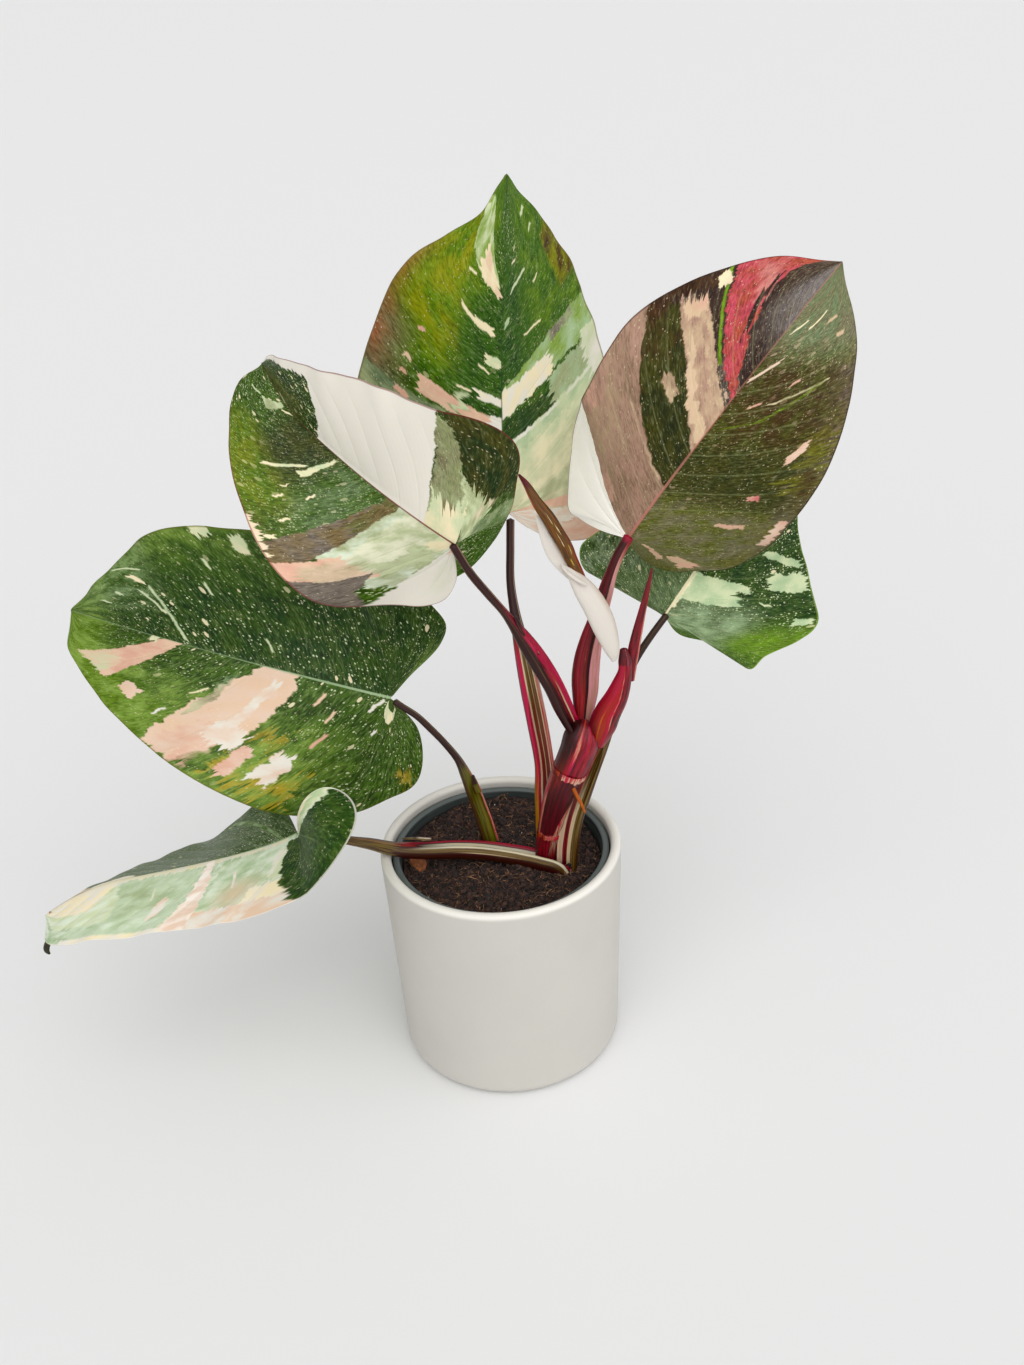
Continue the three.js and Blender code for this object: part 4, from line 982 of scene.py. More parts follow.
def finish_rule(w, node, finish, target):
    """Smooths the node's shape, makes its instances real and gives it its material."""
    smoothed = w.add("GeometryNodeSetShadeSmooth", {"Geometry": node.outputs[0]})
    real = w.add("GeometryNodeRealizeInstances", {"Geometry": smoothed.outputs[0]})
    dressed = w.add("GeometryNodeSetMaterial", {"Geometry": real.outputs[0], "Material": finish})
    w.put(target.inputs["Shape"], dressed.outputs[0])


def turned_tree(name):
    """Turns a profile, given as a line of points in the XZ plane, around the Z axis."""
    w, source, target = rule_tree(name, {
        "mesh": ["Profile"], "whole": ["Sides", "Profile Points"], "finish": ["Finish"]})
    line = w.add("GeometryNodeMeshToCurve", {"Mesh": source["Profile"]})
    grid = w.add("GeometryNodeMeshGrid", {
        "Size X": 1, "Size Y": 1, "Vertices X": w.math("ADD", source["Sides"], 1),
        "Vertices Y": source["Profile Points"]})
    place = w.split(w.add("GeometryNodeInputPosition").outputs[0])
    angle = w.product(w.math("ADD", place["X"], 0.5), 2 * math.pi)
    sample = w.add("GeometryNodeSampleCurve", {
        "Curves": line.outputs[0], "Factor": w.math("ADD", place["Y"], 0.5)}, mode="FACTOR",
        use_all_curves=True)
    spot = w.split(sample.outputs["Position"])
    turned = w.vector(
        w.product(spot["X"], w.math("COSINE", angle)), w.product(spot["X"], w.math("SINE", angle)), spot["Z"])
    moved = w.add("GeometryNodeSetPosition", {"Geometry": grid.outputs["Mesh"], "Position": turned})
    merged = w.add("GeometryNodeMergeByDistance", {"Geometry": moved.outputs[0], "Distance": 1e-6})
    finish_rule(w, merged, source["Finish"], target)
    return w.tree


def arc(cx, cz, radius, start, stop, steps):
    return [(cx + radius * math.cos(math.radians(a)), cz + radius * math.sin(math.radians(a)))
            for a in np.linspace(start, stop, steps)]


def turned_piece(name, profile, material, sides, count):
    """A pot from its profile, radius and height in millimetres, with count points along it."""
    edges = [(i, i + 1) for i in range(len(profile) - 1)]
    piece = add_object(name, plain_mesh(name, [(r, 0, z) for r, z in profile], edges, []))
    wire_rule(piece, shared("Turned Shape", turned_tree), {
        "Sides": sides, "Profile Points": count, "Finish": material})
    return face_outwards(piece, merge=True)


# Finishes

def ceramic_material(colour):
    material, w, shader = new_material("cover_pot_glaze")
    place = object_place(w)
    cloud = w.noise(place, 22, 4)
    fine = w.noise(place, 900, 3, 0.6)
    glaze = w.blend(w.step(cloud, 0.3, 0.7), tuple(colour), scaled(colour, 0.965))
    speck = w.step(w.noise(place, 620, 1), 0.72, 0.78)
    # Painted highlight: the glaze is lighter along the top of the lip, where the light catches it.
    lip = w.step(w.split(place)["Z"], *LIP_HIGHLIGHT_BAND)
    glaze = w.blend(lip, glaze, scaled(colour, 1.5))
    w.put(shader.inputs["Base Color"], w.blend(w.product(speck, 0.25), glaze, paint(190, 184, 172)))
    w.put(shader.inputs["Roughness"], w.total(0.42, w.product(cloud, 0.16)))
    bump(w, shader, w.total(fine, w.product(cloud, 2)), 0.00012, 0.5)
    return material


def plastic_material(colour):
    material, w, shader = new_material("nursery_pot_plastic")
    place = object_place(w)
    cloud = w.noise(place, 60, 4)
    pressed = w.add("ShaderNodeMapping", {"Vector": place, "Scale": (40, 40, 400)}).outputs[0]
    scuff = w.noise(pressed, 1)
    base = w.blend(w.step(scuff, 0.45, 0.75), tuple(colour), scaled(colour, 1.7))
    height = w.split(place)["Z"]
    # Painted highlight: the plastic is lighter along the top of the rolled rim, where the light catches it.
    base = w.blend(w.product(w.step(height, *RIM_HIGHLIGHT_BAND), 0.25), base, paint(150, 162, 158))
    dust = w.product(w.step(height, *DUST_BAND), w.step(cloud, 0.42, 0.6))
    w.put(shader.inputs["Base Color"], w.blend(w.product(dust, 0.8), base, paint(58, 42, 34)))
    w.put(shader.inputs["Roughness"], w.total(0.36, w.product(cloud, 0.2)))
    bump(w, shader, scuff, 0.0001, 0.4)
    return material


def earth_material(name, dark, light, scale, rough=0.92):
    material, w, shader = new_material(name, rough)
    place = object_place(w)
    grain = w.noise(place, scale, 6, 0.68)
    w.put(shader.inputs["Base Color"], w.blend(w.step(grain, 0.42, 0.66), dark, light))
    w.put(shader.inputs["Roughness"], w.total(rough - 0.3, w.product(grain, 0.5)))
    bump(w, shader, grain, 0.0008, 0.9)
    return material


def streaked(w, streaks, colour, strength):
    """Darker and lighter lines along the side veins."""
    dark = w.blend(1, colour, paint(192, 192, 188), "MULTIPLY")
    light = w.blend(0.1, colour, paint(222, 224, 192))
    colour = w.blend(w.product(w.step(streaks, 0.54, 0.34), strength), colour, dark)
    return w.blend(w.product(w.step(streaks, 0.52, 0.72), strength), colour, light)


def lay_patches(w, colour, patches, fields):
    """Paints the patches over the colour, one after the other."""
    for names, settings in patches:
        first, second = shades(names)
        colour = w.group(shared("Variegation Patch", patch_group), {
            **fields, **dict(zip(PATCH_SOCKETS, settings)), "Under": colour, "Colour": first,
            "Second Colour": second}).outputs[0]
    return colour


def speckles(w, grain, seed, width, length, share, size):
    """A mask of dots or dashes along the side veins."""
    return w.group(shared("Speckle", speckle_group), {
        "Leaning": grain["Leaning"], "Reach": grain["Reach"], "Seed": seed, "Width": width, "Length": length,
        "Share": share, "Size": size}).outputs[0]


def blade_material(name, leaf, seed, under):
    """Variegated skin: the grounds of both halves, their patches, specks, veins, midrib and margin."""
    material, w, shader = new_material(name)
    grain = w.group(shared("Blade Grain", blade_grain_group), {
        "Vein UV": uv_place(w, "vein"), "Seed": seed}).outputs
    plane = uv_place(w, "plane")
    flat = w.split(plane)
    fields = {label: grain[label] for label in ("Place", "Reach", "Edge Noise", "End Noise", "Mottle")}
    halves = []
    for side, ground, dot_seed, dash_seed in (
            ("left", leaf["left_ground"], 5, 9), ("right", leaf["ground"], 0, 3)):
        colour = w.blend(grain["Mottle"], *shades(ground))
        colour = streaked(w, grain["Streaks"], colour, 0.5)
        dots = speckles(w, grain, seed + dot_seed, 0.0065, 0.024, leaf["dots"], 0.38)
        colour = w.blend(w.product(dots, 0.9), colour, SHADES[leaf["speckle"]])
        dashes = speckles(w, grain, seed + dash_seed, 0.014, 0.09, leaf["dashes"], 0.4)
        colour = w.blend(w.product(dashes, 0.85), colour, SHADES[leaf["fleck"]])
        halves.append(lay_patches(w, colour, leaf[side], fields))
    colour = w.blend(grain["Left Half"], halves[1], halves[0])
    veins = w.group(shared("Side Veins", vein_group), {
        "Leaning": grain["Leaning"], "Reach": grain["Reach"], "Veins": leaf["veins"]}).outputs
    lightness = w.add("ShaderNodeRGBToBW", {"Color": colour}).outputs[0]
    colour = streaked(w, grain["Streaks"], colour, w.step(lightness, 0.45, 0.06))
    dust = speckles(w, grain, seed + 14, 0.005, 0.018, 0.11, 0.36)
    colour = w.blend(w.product(dust, 0.4), colour, SHADES["cream"])
    lit = w.blend(0.25, colour, paint(200, 210, 160))
    colour = w.blend(w.product(veins["Line"], leaf["vein_light"]), colour, lit)
    along = w.math("MINIMUM", w.math("MAXIMUM", flat["X"], 0), 1)
    half_width = w.minus(leaf["rib"], w.product(along, 0.6 * leaf["rib"]))
    midrib = w.step(w.minus(half_width, w.math("ABSOLUTE", flat["Y"])), -0.002, 0.002)
    fading = w.minus(0.9, w.product(along, 0.55))
    colour = w.blend(w.product(midrib, fading), colour, SHADES[leaf["midrib"]])
    margin = w.step(grain["Reach"], 0.986, 0.994)
    colour = w.blend(w.product(margin, 0.6), colour, SHADES[leaf["margin"]])
    if under:
        pale = w.blend(0.45, colour, paint(176, 176, 150))
        colour = w.blend(w.product(veins["Line"], 0.4), pale, paint(196, 178, 160))
    colour = w.add("ShaderNodeGamma", {"Color": colour, "Gamma": 1.16}).outputs[0]
    # Painted light: each leaf's own brightening factor here stands in for the light that leaf gets.
    colour = w.add("ShaderNodeHueSaturation", {
        "Saturation": 1.02, "Value": 1.24 * leaf["light_gain"], "Color": colour}).outputs[0]
    w.put(shader.inputs["Base Color"], colour)
    shader.inputs["Specular IOR Level"].default_value = 0.15
    w.put(shader.inputs["Roughness"], w.total(0.5 if under else 0.34, w.product(grain["Mottle"], 0.08)))
    cells = w.noise(plane, 90, 3, 0.6)
    vein_depth, rib_depth = (-0.8, 0.3) if under else (0.5, -1)
    height = w.total(
        w.product(veins["Height"], vein_depth), w.product(cells, 0.35), w.product(midrib, rib_depth))
    bump(w, shader, height, 0.0003, 0.6)
    return material


def skin_material(name, skin, rough=0.38, seed=0):
    """Stalk skin. The UV map holds across, -1 to 1 as the viewer sees it, and along, 0 to 1."""
    ground, patches = skin
    material, w, shader = new_material(name, rough)
    split = w.split(uv_place(w, "skin"))
    across, along = split["X"], split["Y"]
    streaks = w.stretched_noise(across, 7, along, 5, seed, 5, 0.65)
    mottle = w.step(streaks, 0.38, 0.62)
    colour = lay_patches(w, w.blend(mottle, *shades(ground)), patches, {
        "Place": across, "Reach": along, "Mottle": mottle,
        "Edge Noise": w.minus(w.stretched_noise(across, 1.2, along, 9, seed, 4), 0.5),
        "End Noise": w.minus(w.stretched_noise(across, 9, along, 4, seed, 3), 0.5)})
    rich = w.add("ShaderNodeHueSaturation", {"Saturation": 1.28, "Value": 0.9, "Color": colour}).outputs[0]
    w.put(shader.inputs["Base Color"], rich)
    shader.inputs["Specular IOR Level"].default_value = 0.32
    w.put(shader.inputs["Roughness"], w.total(rough - 0.06, w.product(streaks, 0.16)))
    ridges = w.stretched_noise(across, 16, along, 6, seed, 2)
    pores = w.noise(object_place(w), 1400, 2)
    bump(w, shader, w.total(ridges, w.product(pores, 0.4)), 0.00025, 0.6)
    return material


# Blades

class BladeShape:
    """Maps side vein and reach to the flat blade, and the flat blade to its bent place, in millimetres."""

    def __init__(self, blade):
        self.blade = blade
        base = np.array(blade["base"], float)
        along = np.array(blade["tip"], float) - base
        self.length = np.linalg.norm(along)
        along /= self.length
        normal = TOWARDS_VIEWER - along * (TOWARDS_VIEWER @ along)
        normal /= np.linalg.norm(normal)
        across = np.cross(normal, along)
        roll = math.radians(blade["roll"])
        self.base, self.along = base, along
        self.side = math.cos(roll) * across + math.sin(roll) * normal
        self.face = -math.sin(roll) * across + math.cos(roll) * normal
        s = np.linspace(0, 1.02, 52)
        pitch = np.radians(blade["neck"] * np.exp(-s / 0.15) + blade["arch"] * (1 - 2 * s)
                           - blade["droop"] * np.clip((s - 0.65) / 0.35, 0, None))
        x, z = (np.concatenate([[0], np.cumsum(np.diff(s) * (turned[1:] + turned[:-1]) / 2)])
                for turned in (np.cos(pitch), np.sin(pitch)))
        chord, tilt = math.hypot(x[50], z[50]), math.atan2(z[50], x[50])
        cos, sin = math.cos(-tilt), math.sin(-tilt)
        self.steps, self.pitch = s, pitch - tilt
        self.midrib_x, self.midrib_z = (cos * x - sin * z) / chord, (sin * x + cos * z) / chord
        self.flat = self.length / chord
        self.halves = [np.array([(0, 0)] + blade[side] + [(self.flat, 0)]) for side in ("left", "right")]
        self.start, self.stations = [], []
        for half in self.halves:
            t = np.linspace(0, 1, 2001)
            outline = catmull(half, t)
            station = outline[:, 0] - VEIN_LEAN * outline[:, 1]
            first = np.where((station[:-1] <= 0) & (station[1:] >= 0))[0][-1]
            self.start.append(t[first])
            self.stations.append((np.maximum.accumulate(station[first:]), t[first:]))

    def flatten(self, hand, vein, reach):
        """Flat x and y where a side vein is at that share of the way to the margin."""
        on_lobe = vein < LOBE_SHARE
        midrib = np.where(on_lobe, 0, self.flat * (vein - LOBE_SHARE) / (1 - LOBE_SHARE))
        station, t = self.stations[hand]
        margin = catmull(self.halves[hand], np.where(
            on_lobe, self.start[hand] * vein / LOBE_SHARE, np.interp(midrib, station, t)))
        outer_x, outer_y = margin[..., 0], margin[..., 1]
        bow = 2 * reach * (1 - reach)
        x = midrib * (1 - reach) ** 2 + outer_x * reach ** 2 + bow * (midrib + 0.25 * (outer_x - midrib))
        return x, outer_y * reach

    def place(self, x, y, hand):
        """The bent place of a flat point, after its fold, curl and twist and the lobes' turn."""
        blade = self.blade
        s = np.clip(x / self.flat, 0, 1.02)
        centre_x = np.interp(s, self.steps, self.midrib_x) * self.length
        centre_z = np.interp(s, self.steps, self.midrib_z) * self.length
        pitch = np.interp(s, self.steps, self.pitch)
        rise = smooth(s, 0, 0.45)
        fold = np.radians(blade["fold_base"][hand] * (1 - rise) + blade["fold"][hand] * rise)
        curl = math.radians(blade["curl"][hand] + 1e-3) / (0.4 * self.flat)
        reach = np.abs(y)
        across = (np.sin(fold + curl * reach) - np.sin(fold)) / curl
        up = (np.cos(fold) - np.cos(fold + curl * reach)) / curl
        if hand == 1:
            across = -across
        twist = math.radians(blade["twist"]) * (s - 0.4)
        across, up = across * np.cos(twist) - up * np.sin(twist), across * np.sin(twist) + up * np.cos(twist)
        back = np.maximum(0, -x)
        turn = math.radians(blade["turn"][hand]) * np.clip(1 - reach / (0.55 * self.flat), 0, 1) \
            * back / (back + 0.02 * self.flat)
        behind = -back * np.cos(turn)
        up = up + back * np.sin(turn)
        forward = centre_x + behind * np.cos(pitch) - up * np.sin(pitch)
        lift = centre_z + behind * np.sin(pitch) + up * np.cos(pitch)
        return (self.base + forward[..., None] * self.along + across[..., None] * self.side
                + lift[..., None] * self.face)

    def normal(self, x, y, hand):
        step = 0.5
        ahead = self.place(x + step, y, hand) - self.place(x - step, y, hand)
        out = self.place(x, y + step, hand) - self.place(x, np.maximum(y - step, 0), hand)
        cross = np.cross(ahead, out)
        if hand == 1:
            cross = -cross
        return cross / np.linalg.norm(cross, axis=-1, keepdims=True)


LOBE_ROWS = 64
MIDRIB_ROWS = 150
BLADE_COLUMNS = 34
MARGIN_WAVES = 5.75
MARGIN_RIPPLES = 11


def blade_layers(shape, leaf, sizes, hand, v, u, phase):
    """Upper and lower skin of one half: v is the side vein, u the reach, phase the margin's ripple."""
    wavy = shape.blade["wave"]
    x, y = shape.flatten(hand, v, u)
    normal, point = shape.normal(x, y, hand), shape.place(x, y, hand)
    wave = np.sin(2 * math.pi * MARGIN_WAVES * v + hand + 0.8) * u ** 2 * wavy
    wave += 0.5 * wavy * u ** 3 * np.sin(2 * math.pi * (v * MARGIN_RIPPLES) + phase)
    vein = (v - u * (VEIN_SWEEP + SWEEP_GAIN * np.maximum(v - SWEEP_FROM, 0))) * leaf["veins"]
    puff = np.abs(np.sin(math.pi * vein)) ** 0.6 - 0.6
    puff = puff * smooth(u, 0.02, 0.2) * (1 - smooth(u, 0.7, 1)) * smooth(v, 0.05, 0.25)
    along = np.clip(x / shape.flat, 0, 1)
    groove = -0.5 * np.exp(-(y / 1.3) ** 2) * (1 - 0.7 * along) * (x >= 0)
    lift = wave + puff * sizes.puff / MM + groove
    thick = sizes.blade_thickness / MM * (1 - 0.55 * smooth(u, 0.9, 1))
    rib = sizes.midrib_depth / MM * np.exp(-(y / 1.9) ** 2) * (1 - 0.85 * along)
    back_vein = 0.35 * np.exp(-((vein - np.round(vein)) / 0.06) ** 2) * (1 - smooth(u, 0.5, 0.95))
    upper = point + normal * (lift + thick / 2)[..., None]
    lower = point + normal * (lift - thick / 2 - rib - back_vein)[..., None]
    return (upper, lower), x, y


def blade_piece(name, blade, leaf, sizes, seed):
    """A closed thin leaf, its two halves joined at the midrib and drawn together at the tip."""
    shape = BladeShape(blade)
    lobe = LOBE_SHARE * np.arange(1, LOBE_ROWS + 1) / LOBE_ROWS
    body = LOBE_SHARE + (1 - LOBE_SHARE) * np.arange(1, MIDRIB_ROWS) / MIDRIB_ROWS
    reach = np.sin(np.linspace(0, 1, BLADE_COLUMNS + 1) * math.pi / 2) ** 0.8
    v, u = np.meshgrid(np.concatenate([lobe, body]), reach, indexing="ij")
    rows, columns = v.shape
    phases = np.random.default_rng(seed).uniform(0, 2 * math.pi, 6)
    halves = [blade_layers(shape, leaf, sizes, hand, v, u, phases[hand]) for hand in (0, 1)]

    tip_x, tip_y = np.array([shape.flat]), np.array([0.0])
    tip, tip_normal = shape.place(tip_x, tip_y, 0)[0], shape.normal(tip_x, tip_y, 0)[0]
    third = sizes.blade_thickness / MM / 3
    vertices = [tip + tip_normal * third, tip - tip_normal * third]
    index, faces, vein_uv, plane_uv, slots = {}, [], [], [], []

    def corner(layer, i, k, hand):
        """The vertex there, made on first use. Both halves share the midrib's, and the lobes the first."""
        key = (layer, i, k, hand) if k else (layer, max(i, LOBE_ROWS - 1), 0, 0)
        if key not in index:
            index[key] = len(vertices)
            vertices.append(halves[key[3]][0][layer][key[1], k])
        return index[key]

    def add_face(loop, slot, turned):
        if turned:
            loop.reverse()
        faces.append([entry[0] for entry in loop])
        vein_uv.extend(entry[1] for entry in loop)
        plane_uv.extend(entry[2] for entry in loop)
        slots.append(slot)

    for hand, sign in ((0, 1), (1, -1)):
        _, x, y = halves[hand]

        def spot(layer, i, k):
            """Vertex, vein UV and plane UV. Past the last row lies the tip."""
            if i == rows:
                return layer, (1.0, sign * reach[k]), (shape.flat / 100, 0)
            return (corner(layer, i, k, hand), (v[i, k], sign * max(u[i, k], 1e-4)),
                    (x[i, k] / 100, sign * y[i, k] / 100))

        for i in range(rows):
            for k in range(columns - 1):
                for layer in (0, 1):
                    loop = []
                    for a, b in ((i, k), (i + 1, k), (i + 1, k + 1), (i, k + 1)):
                        entry = spot(layer, a, b)
                        if not loop or entry[0] != loop[-1][0]:
                            loop.append(entry)
                    if loop[0][0] == loop[-1][0]:
                        loop.pop()
                    if len(loop) > 2:
                        add_face(loop, layer, (layer == 0) == (hand == 1))
        margin = [(0, k) for k in range(columns)] + [(i, columns - 1) for i in range(1, rows + 1)]
        ring = [(spot(0, a, b), spot(1, a, b)) for a, b in margin]
        for near, far in zip(ring[:-1], ring[1:]):
            add_face([near[0], far[0], far[1], near[1]], 0, hand == 1)
    materials = [blade_material(f"{name}_{side}", leaf, seed, side == "under") for side in ("upper", "under")]
    return mesh_object(name, vertices, faces, materials, {"vein": vein_uv, "plane": plane_uv}, slots)


# Stalks

def section(share, sides):
    """A stalk's section as sideways and upward shares: round at share 0, an open sheath at 1."""
    outer = int(sides * 0.62)
    opening = math.radians(20 + 34 * share)
    places = []
    for k in range(sides):
        if k < outer:
            angle = opening + (2 * math.pi - 2 * opening) * k / (outer - 1)
            places.append((math.sin(angle), math.cos(angle)))
            continue
        q = (k - outer + 1) / (sides - outer + 1)
        angle = -opening + 2 * opening * q
        plain = (math.sin(angle), math.cos(angle) - 0.06 * math.sin(math.pi * q))
        trough = (-(math.sin(opening) - 0.1) * math.cos(math.pi * q),
                  math.cos(opening) - 0.02 - 0.85 * math.sin(math.pi * q) ** 0.8)
        places.append(tuple(a + (b - a) * share for a, b in zip(plain, trough)))
    return places


def swept_piece(name, shape, material, sides, rings=120, points=None):
    """Sweeps the stalk's section along its line."""
    face = np.array(shape["face"])
    sheath, depth = shape.get("sheath", 0), shape["depth"]
    t = np.linspace(0, 1, rings)
    line = catmull(points or shape["points"], t)
    ahead = np.gradient(line[:, :3], axis=0)
    ahead /= np.linalg.norm(ahead, axis=1, keepdims=True)
    vertices, spots = [], []
    for i, along in enumerate(ahead):
        centre, half = line[i, :3], max(line[i, 3], 0.12)
        up = face - along * (face @ along)
        up /= np.linalg.norm(up)
        side = np.cross(up, along)
        seen = np.cross(along, TOWARDS_VIEWER)
        seen /= np.linalg.norm(seen)
        share = 1 - smooth(t[i], sheath - 0.15, sheath) if sheath > 0 else 0.0
        deep = half * (1 + (depth - 1) * (share if sheath > 0 else 1))
        ring = np.array([centre + side * (half * a) + up * (deep * b) for a, b in section(share, sides)])
        vertices.extend(ring)
        spots.append([(across, t[i]) for across in (ring - centre) @ seen / half])
    caps = [line[0, :3] - ahead[0] * 0.2 * line[0, 3], line[-1, :3] + ahead[-1] * 0.5 * line[-1, 3]]
    faces, uvs = [], []
    for i in range(rings - 1):
        for k in range(sides):
            n = (k + 1) % sides
            cells = [(i, k), (i, n), (i + 1, n), (i + 1, k)]
            faces.append([a * sides + b for a, b in cells])
            uvs.extend(spots[a][b] for a, b in cells)
    for row, cap in ((0, len(vertices)), (rings - 1, len(vertices) + 1)):
        for k in range(sides):
            n = (k + 1) % sides
            pair = (n, k) if row == 0 else (k, n)
            faces.append([cap] + [row * sides + b for b in pair])
            uvs.extend([(0.0, t[row])] + [spots[row][b] for b in pair])
    return face_outwards(mesh_object(name, vertices + caps, faces, [material], {"skin": uvs}))


def ragged_collar(name, shape, material, start, stop, lift, jag, seed, sides=96, rows=5):
    """A thin sleeve of skin around a stalk, from start to stop along it, with a torn lower edge."""
    face = np.array(shape["face"])
    rng = np.random.default_rng(seed)
    turn = np.linspace(0, 2 * math.pi, sides, endpoint=False)
    teeth = sum(rng.uniform(0.4, 1) * np.sin(turn * n + rng.uniform(0, 6.28)) for n in (3, 7, 13, 22)) / 2.2

    def unit(vectors):
        return vectors / np.linalg.norm(vectors, axis=1, keepdims=True)

    vertices, spots = [], []
    for inner in (False, True):
        for share in np.arange(rows) / (rows - 1):
            t = start + jag * teeth * (1 - share) + (stop - start) * share
            line = catmull(shape["points"], t)
            ahead = unit(catmull(shape["points"], np.minimum(t + 0.01, 1))[:, :3] - line[:, :3])
            up = unit(face - ahead * (ahead @ face)[:, None])
            side = np.cross(up, ahead)
            seen = unit(np.cross(ahead, TOWARDS_VIEWER))
            radius = line[:, 3] + (-0.3 if inner else lift * (0.45 + 0.55 * (1 - share) ** 2))
            offset = (side * np.sin(turn)[:, None] + up * np.cos(turn)[:, None]) * radius[:, None]
            vertices.extend(line[:, :3] + offset)
            spots.extend(zip((offset * seen).sum(1) / line[:, 3], t))
    faces = ring_faces(rows, sides) + ring_faces(rows, sides, rows * sides)
    for low, high in ((0, rows * sides), ((2 * rows - 1) * sides, (rows - 1) * sides)):
        for k in range(sides):
            n = (k + 1) % sides
            faces.append((low + n, low + k, high + k, high + n))
    uvs = {"skin": [spots[v] for loop in faces for v in loop]}
    return face_outwards(mesh_object(name, vertices, faces, [material], uvs))


def ring_faces(count, sides, start=0):
    faces = []
    for i in range(count - 1):
        for k in range(sides):
            n = (k + 1) % sides
            a, b = start + i * sides + k, start + i * sides + n
            faces.append((a, b, b + sides, a + sides))
    return faces


# Soil

SOIL_SIDES = 180
SOIL_RINGS = 84
SOIL_RADIUS = 57.9
DOME_RADIUS = 59.8


def soil_height(x, y):
    reach = min(1.0, math.hypot(x, y) / DOME_RADIUS)
    dome = SOIL["edge"] + (SOIL["crown"] - SOIL["edge"]) * (1 - reach * reach)
    dome += SOIL["back_rise"] * max(0, y) / DOME_RADIUS
    place = Vector((x, y, 0))
    rough = sum(high * noise.noise(place * scale) for high, scale in ((1.5, 0.06), (1.1, 0.19), (0.7, 0.45)))
    return dome + rough * (1 - 0.6 * reach ** 6)


def soil_top():
    """Points of the soil's top, ring by ring from the edge."""
    turns = [2 * math.pi * k / SOIL_SIDES for k in range(SOIL_SIDES)]
    rings = []
    for i in range(SOIL_RINGS):
        radius = SOIL_RADIUS * (SOIL_RINGS - i) / SOIL_RINGS
        spots = [(radius * math.cos(turn), radius * math.sin(turn)) for turn in turns]
        rings.append([(x, y, soil_height(x, y)) for x, y in spots])
    return rings


def crumb_tree(name, instance):
    """Scatters a small shape over a surface, at random turns and sizes, then roughens it."""
    w, source, target = rule_tree(name, {
        "mesh": ["Surface"], "value": ["Density", "Smallest", "Largest", "Roughness", "Flatness", "Lie Flat"],
        "whole": ["Seed"], "finish": ["Finish"]})
    spread = w.add("GeometryNodeDistributePointsOnFaces", {
        "Mesh": source["Surface"], "Density": source["Density"], "Seed": source["Seed"]})
    shape = instance(w)

    def random(low, high, seed):
        node = w.add("FunctionNodeRandomValue", data_type="FLOAT")
        sockets = [s for s in node.inputs if s.enabled]
        w.put(sockets[0], low)
        w.put(sockets[1], high)
        node.inputs["Seed"].default_value = seed
        return [s for s in node.outputs if s.enabled][0]

    tilt = w.product(source["Lie Flat"], math.pi)
    turn = w.vector(random(w.product(tilt, -1.0), tilt, 3), random(w.product(tilt, -1.0), tilt, 4),
                    random(-math.pi, math.pi, 5))
    size = random(source["Smallest"], source["Largest"], 6)
    scale = w.vector(w.product(size, random(0.7, 1.3, 7)), w.product(size, random(0.7, 1.3, 8)),
                     w.product(size, source["Flatness"]))
    placed = w.add("GeometryNodeInstanceOnPoints", {
        "Points": spread.outputs["Points"], "Instance": shape, "Rotation": turn, "Scale": scale})
    real = w.add("GeometryNodeRealizeInstances", {"Geometry": placed.outputs[0]})
    place = w.add("GeometryNodeInputPosition").outputs[0]
    rough = w.add("ShaderNodeTexNoise", {"Vector": place, "Scale": 700.0, "Detail": 2.0})
    centred = w.add("ShaderNodeVectorMath", {0: rough.outputs["Color"], 1: (0.5, 0.5, 0.5)},
                    operation="SUBTRACT")
    offset = w.add("ShaderNodeVectorMath", {0: centred.outputs[0], "Scale": source["Roughness"]},
                   operation="SCALE")
    moved = w.add("GeometryNodeSetPosition", {"Geometry": real.outputs[0], "Offset": offset.outputs[0]})
    finish_rule(w, moved, source["Finish"], target)
    return w.tree


def lump(subdivisions):
    """A rounded crumb."""
    return lambda w: w.add("GeometryNodeMeshIcoSphere", {
        "Radius": 1.0, "Subdivisions": subdivisions}).outputs["Mesh"]


def thin_fibre(w):
    line = w.add("GeometryNodeCurveQuadraticBezier", {
        "Resolution": 7, "Start": (-1, 0, 0), "Middle": (0.1, 0.7, 0.25), "End": (1, 0, 0.1)})
    ring = w.add("GeometryNodeCurvePrimitiveCircle", {"Resolution": 4, "Radius": 0.045})
    tube = w.add("GeometryNodeCurveToMesh", {
        "Curve": line.outputs[0], "Profile Curve": ring.outputs[0], "Fill Caps": True})
    return tube.outputs["Mesh"]


def soil_shape(rings):
    """Points and faces of the soil's top as a plain sheet."""
    last, centre = (len(rings) - 1) * SOIL_SIDES, len(rings) * SOIL_SIDES
    closing = [(last + k, last + (k + 1) % SOIL_SIDES, centre) for k in range(SOIL_SIDES)]
    points = [p for ring in rings for p in ring] + [(0, 0, soil_height(0, 0))]
    return points, ring_faces(len(rings), SOIL_SIDES) + closing


def scattered_piece(name, tree, inputs):
    points, faces = soil_shape(soil_top()[3:])
    piece = add_object(name, plain_mesh(name, points, [], faces))
    wire_rule(piece, tree, inputs)
    return piece


# Operators

CAMERA_PLACE = (0.01235, -0.61808, 0.5822)
CAMERA_AXES = ((0.99811, -0.02967, -0.05375), (0.0614, 0.48237, 0.87381), (0, -0.87546, 0.48328))
FLOOR_RADIUS = 400
FLOOR_DROP = 0.0005


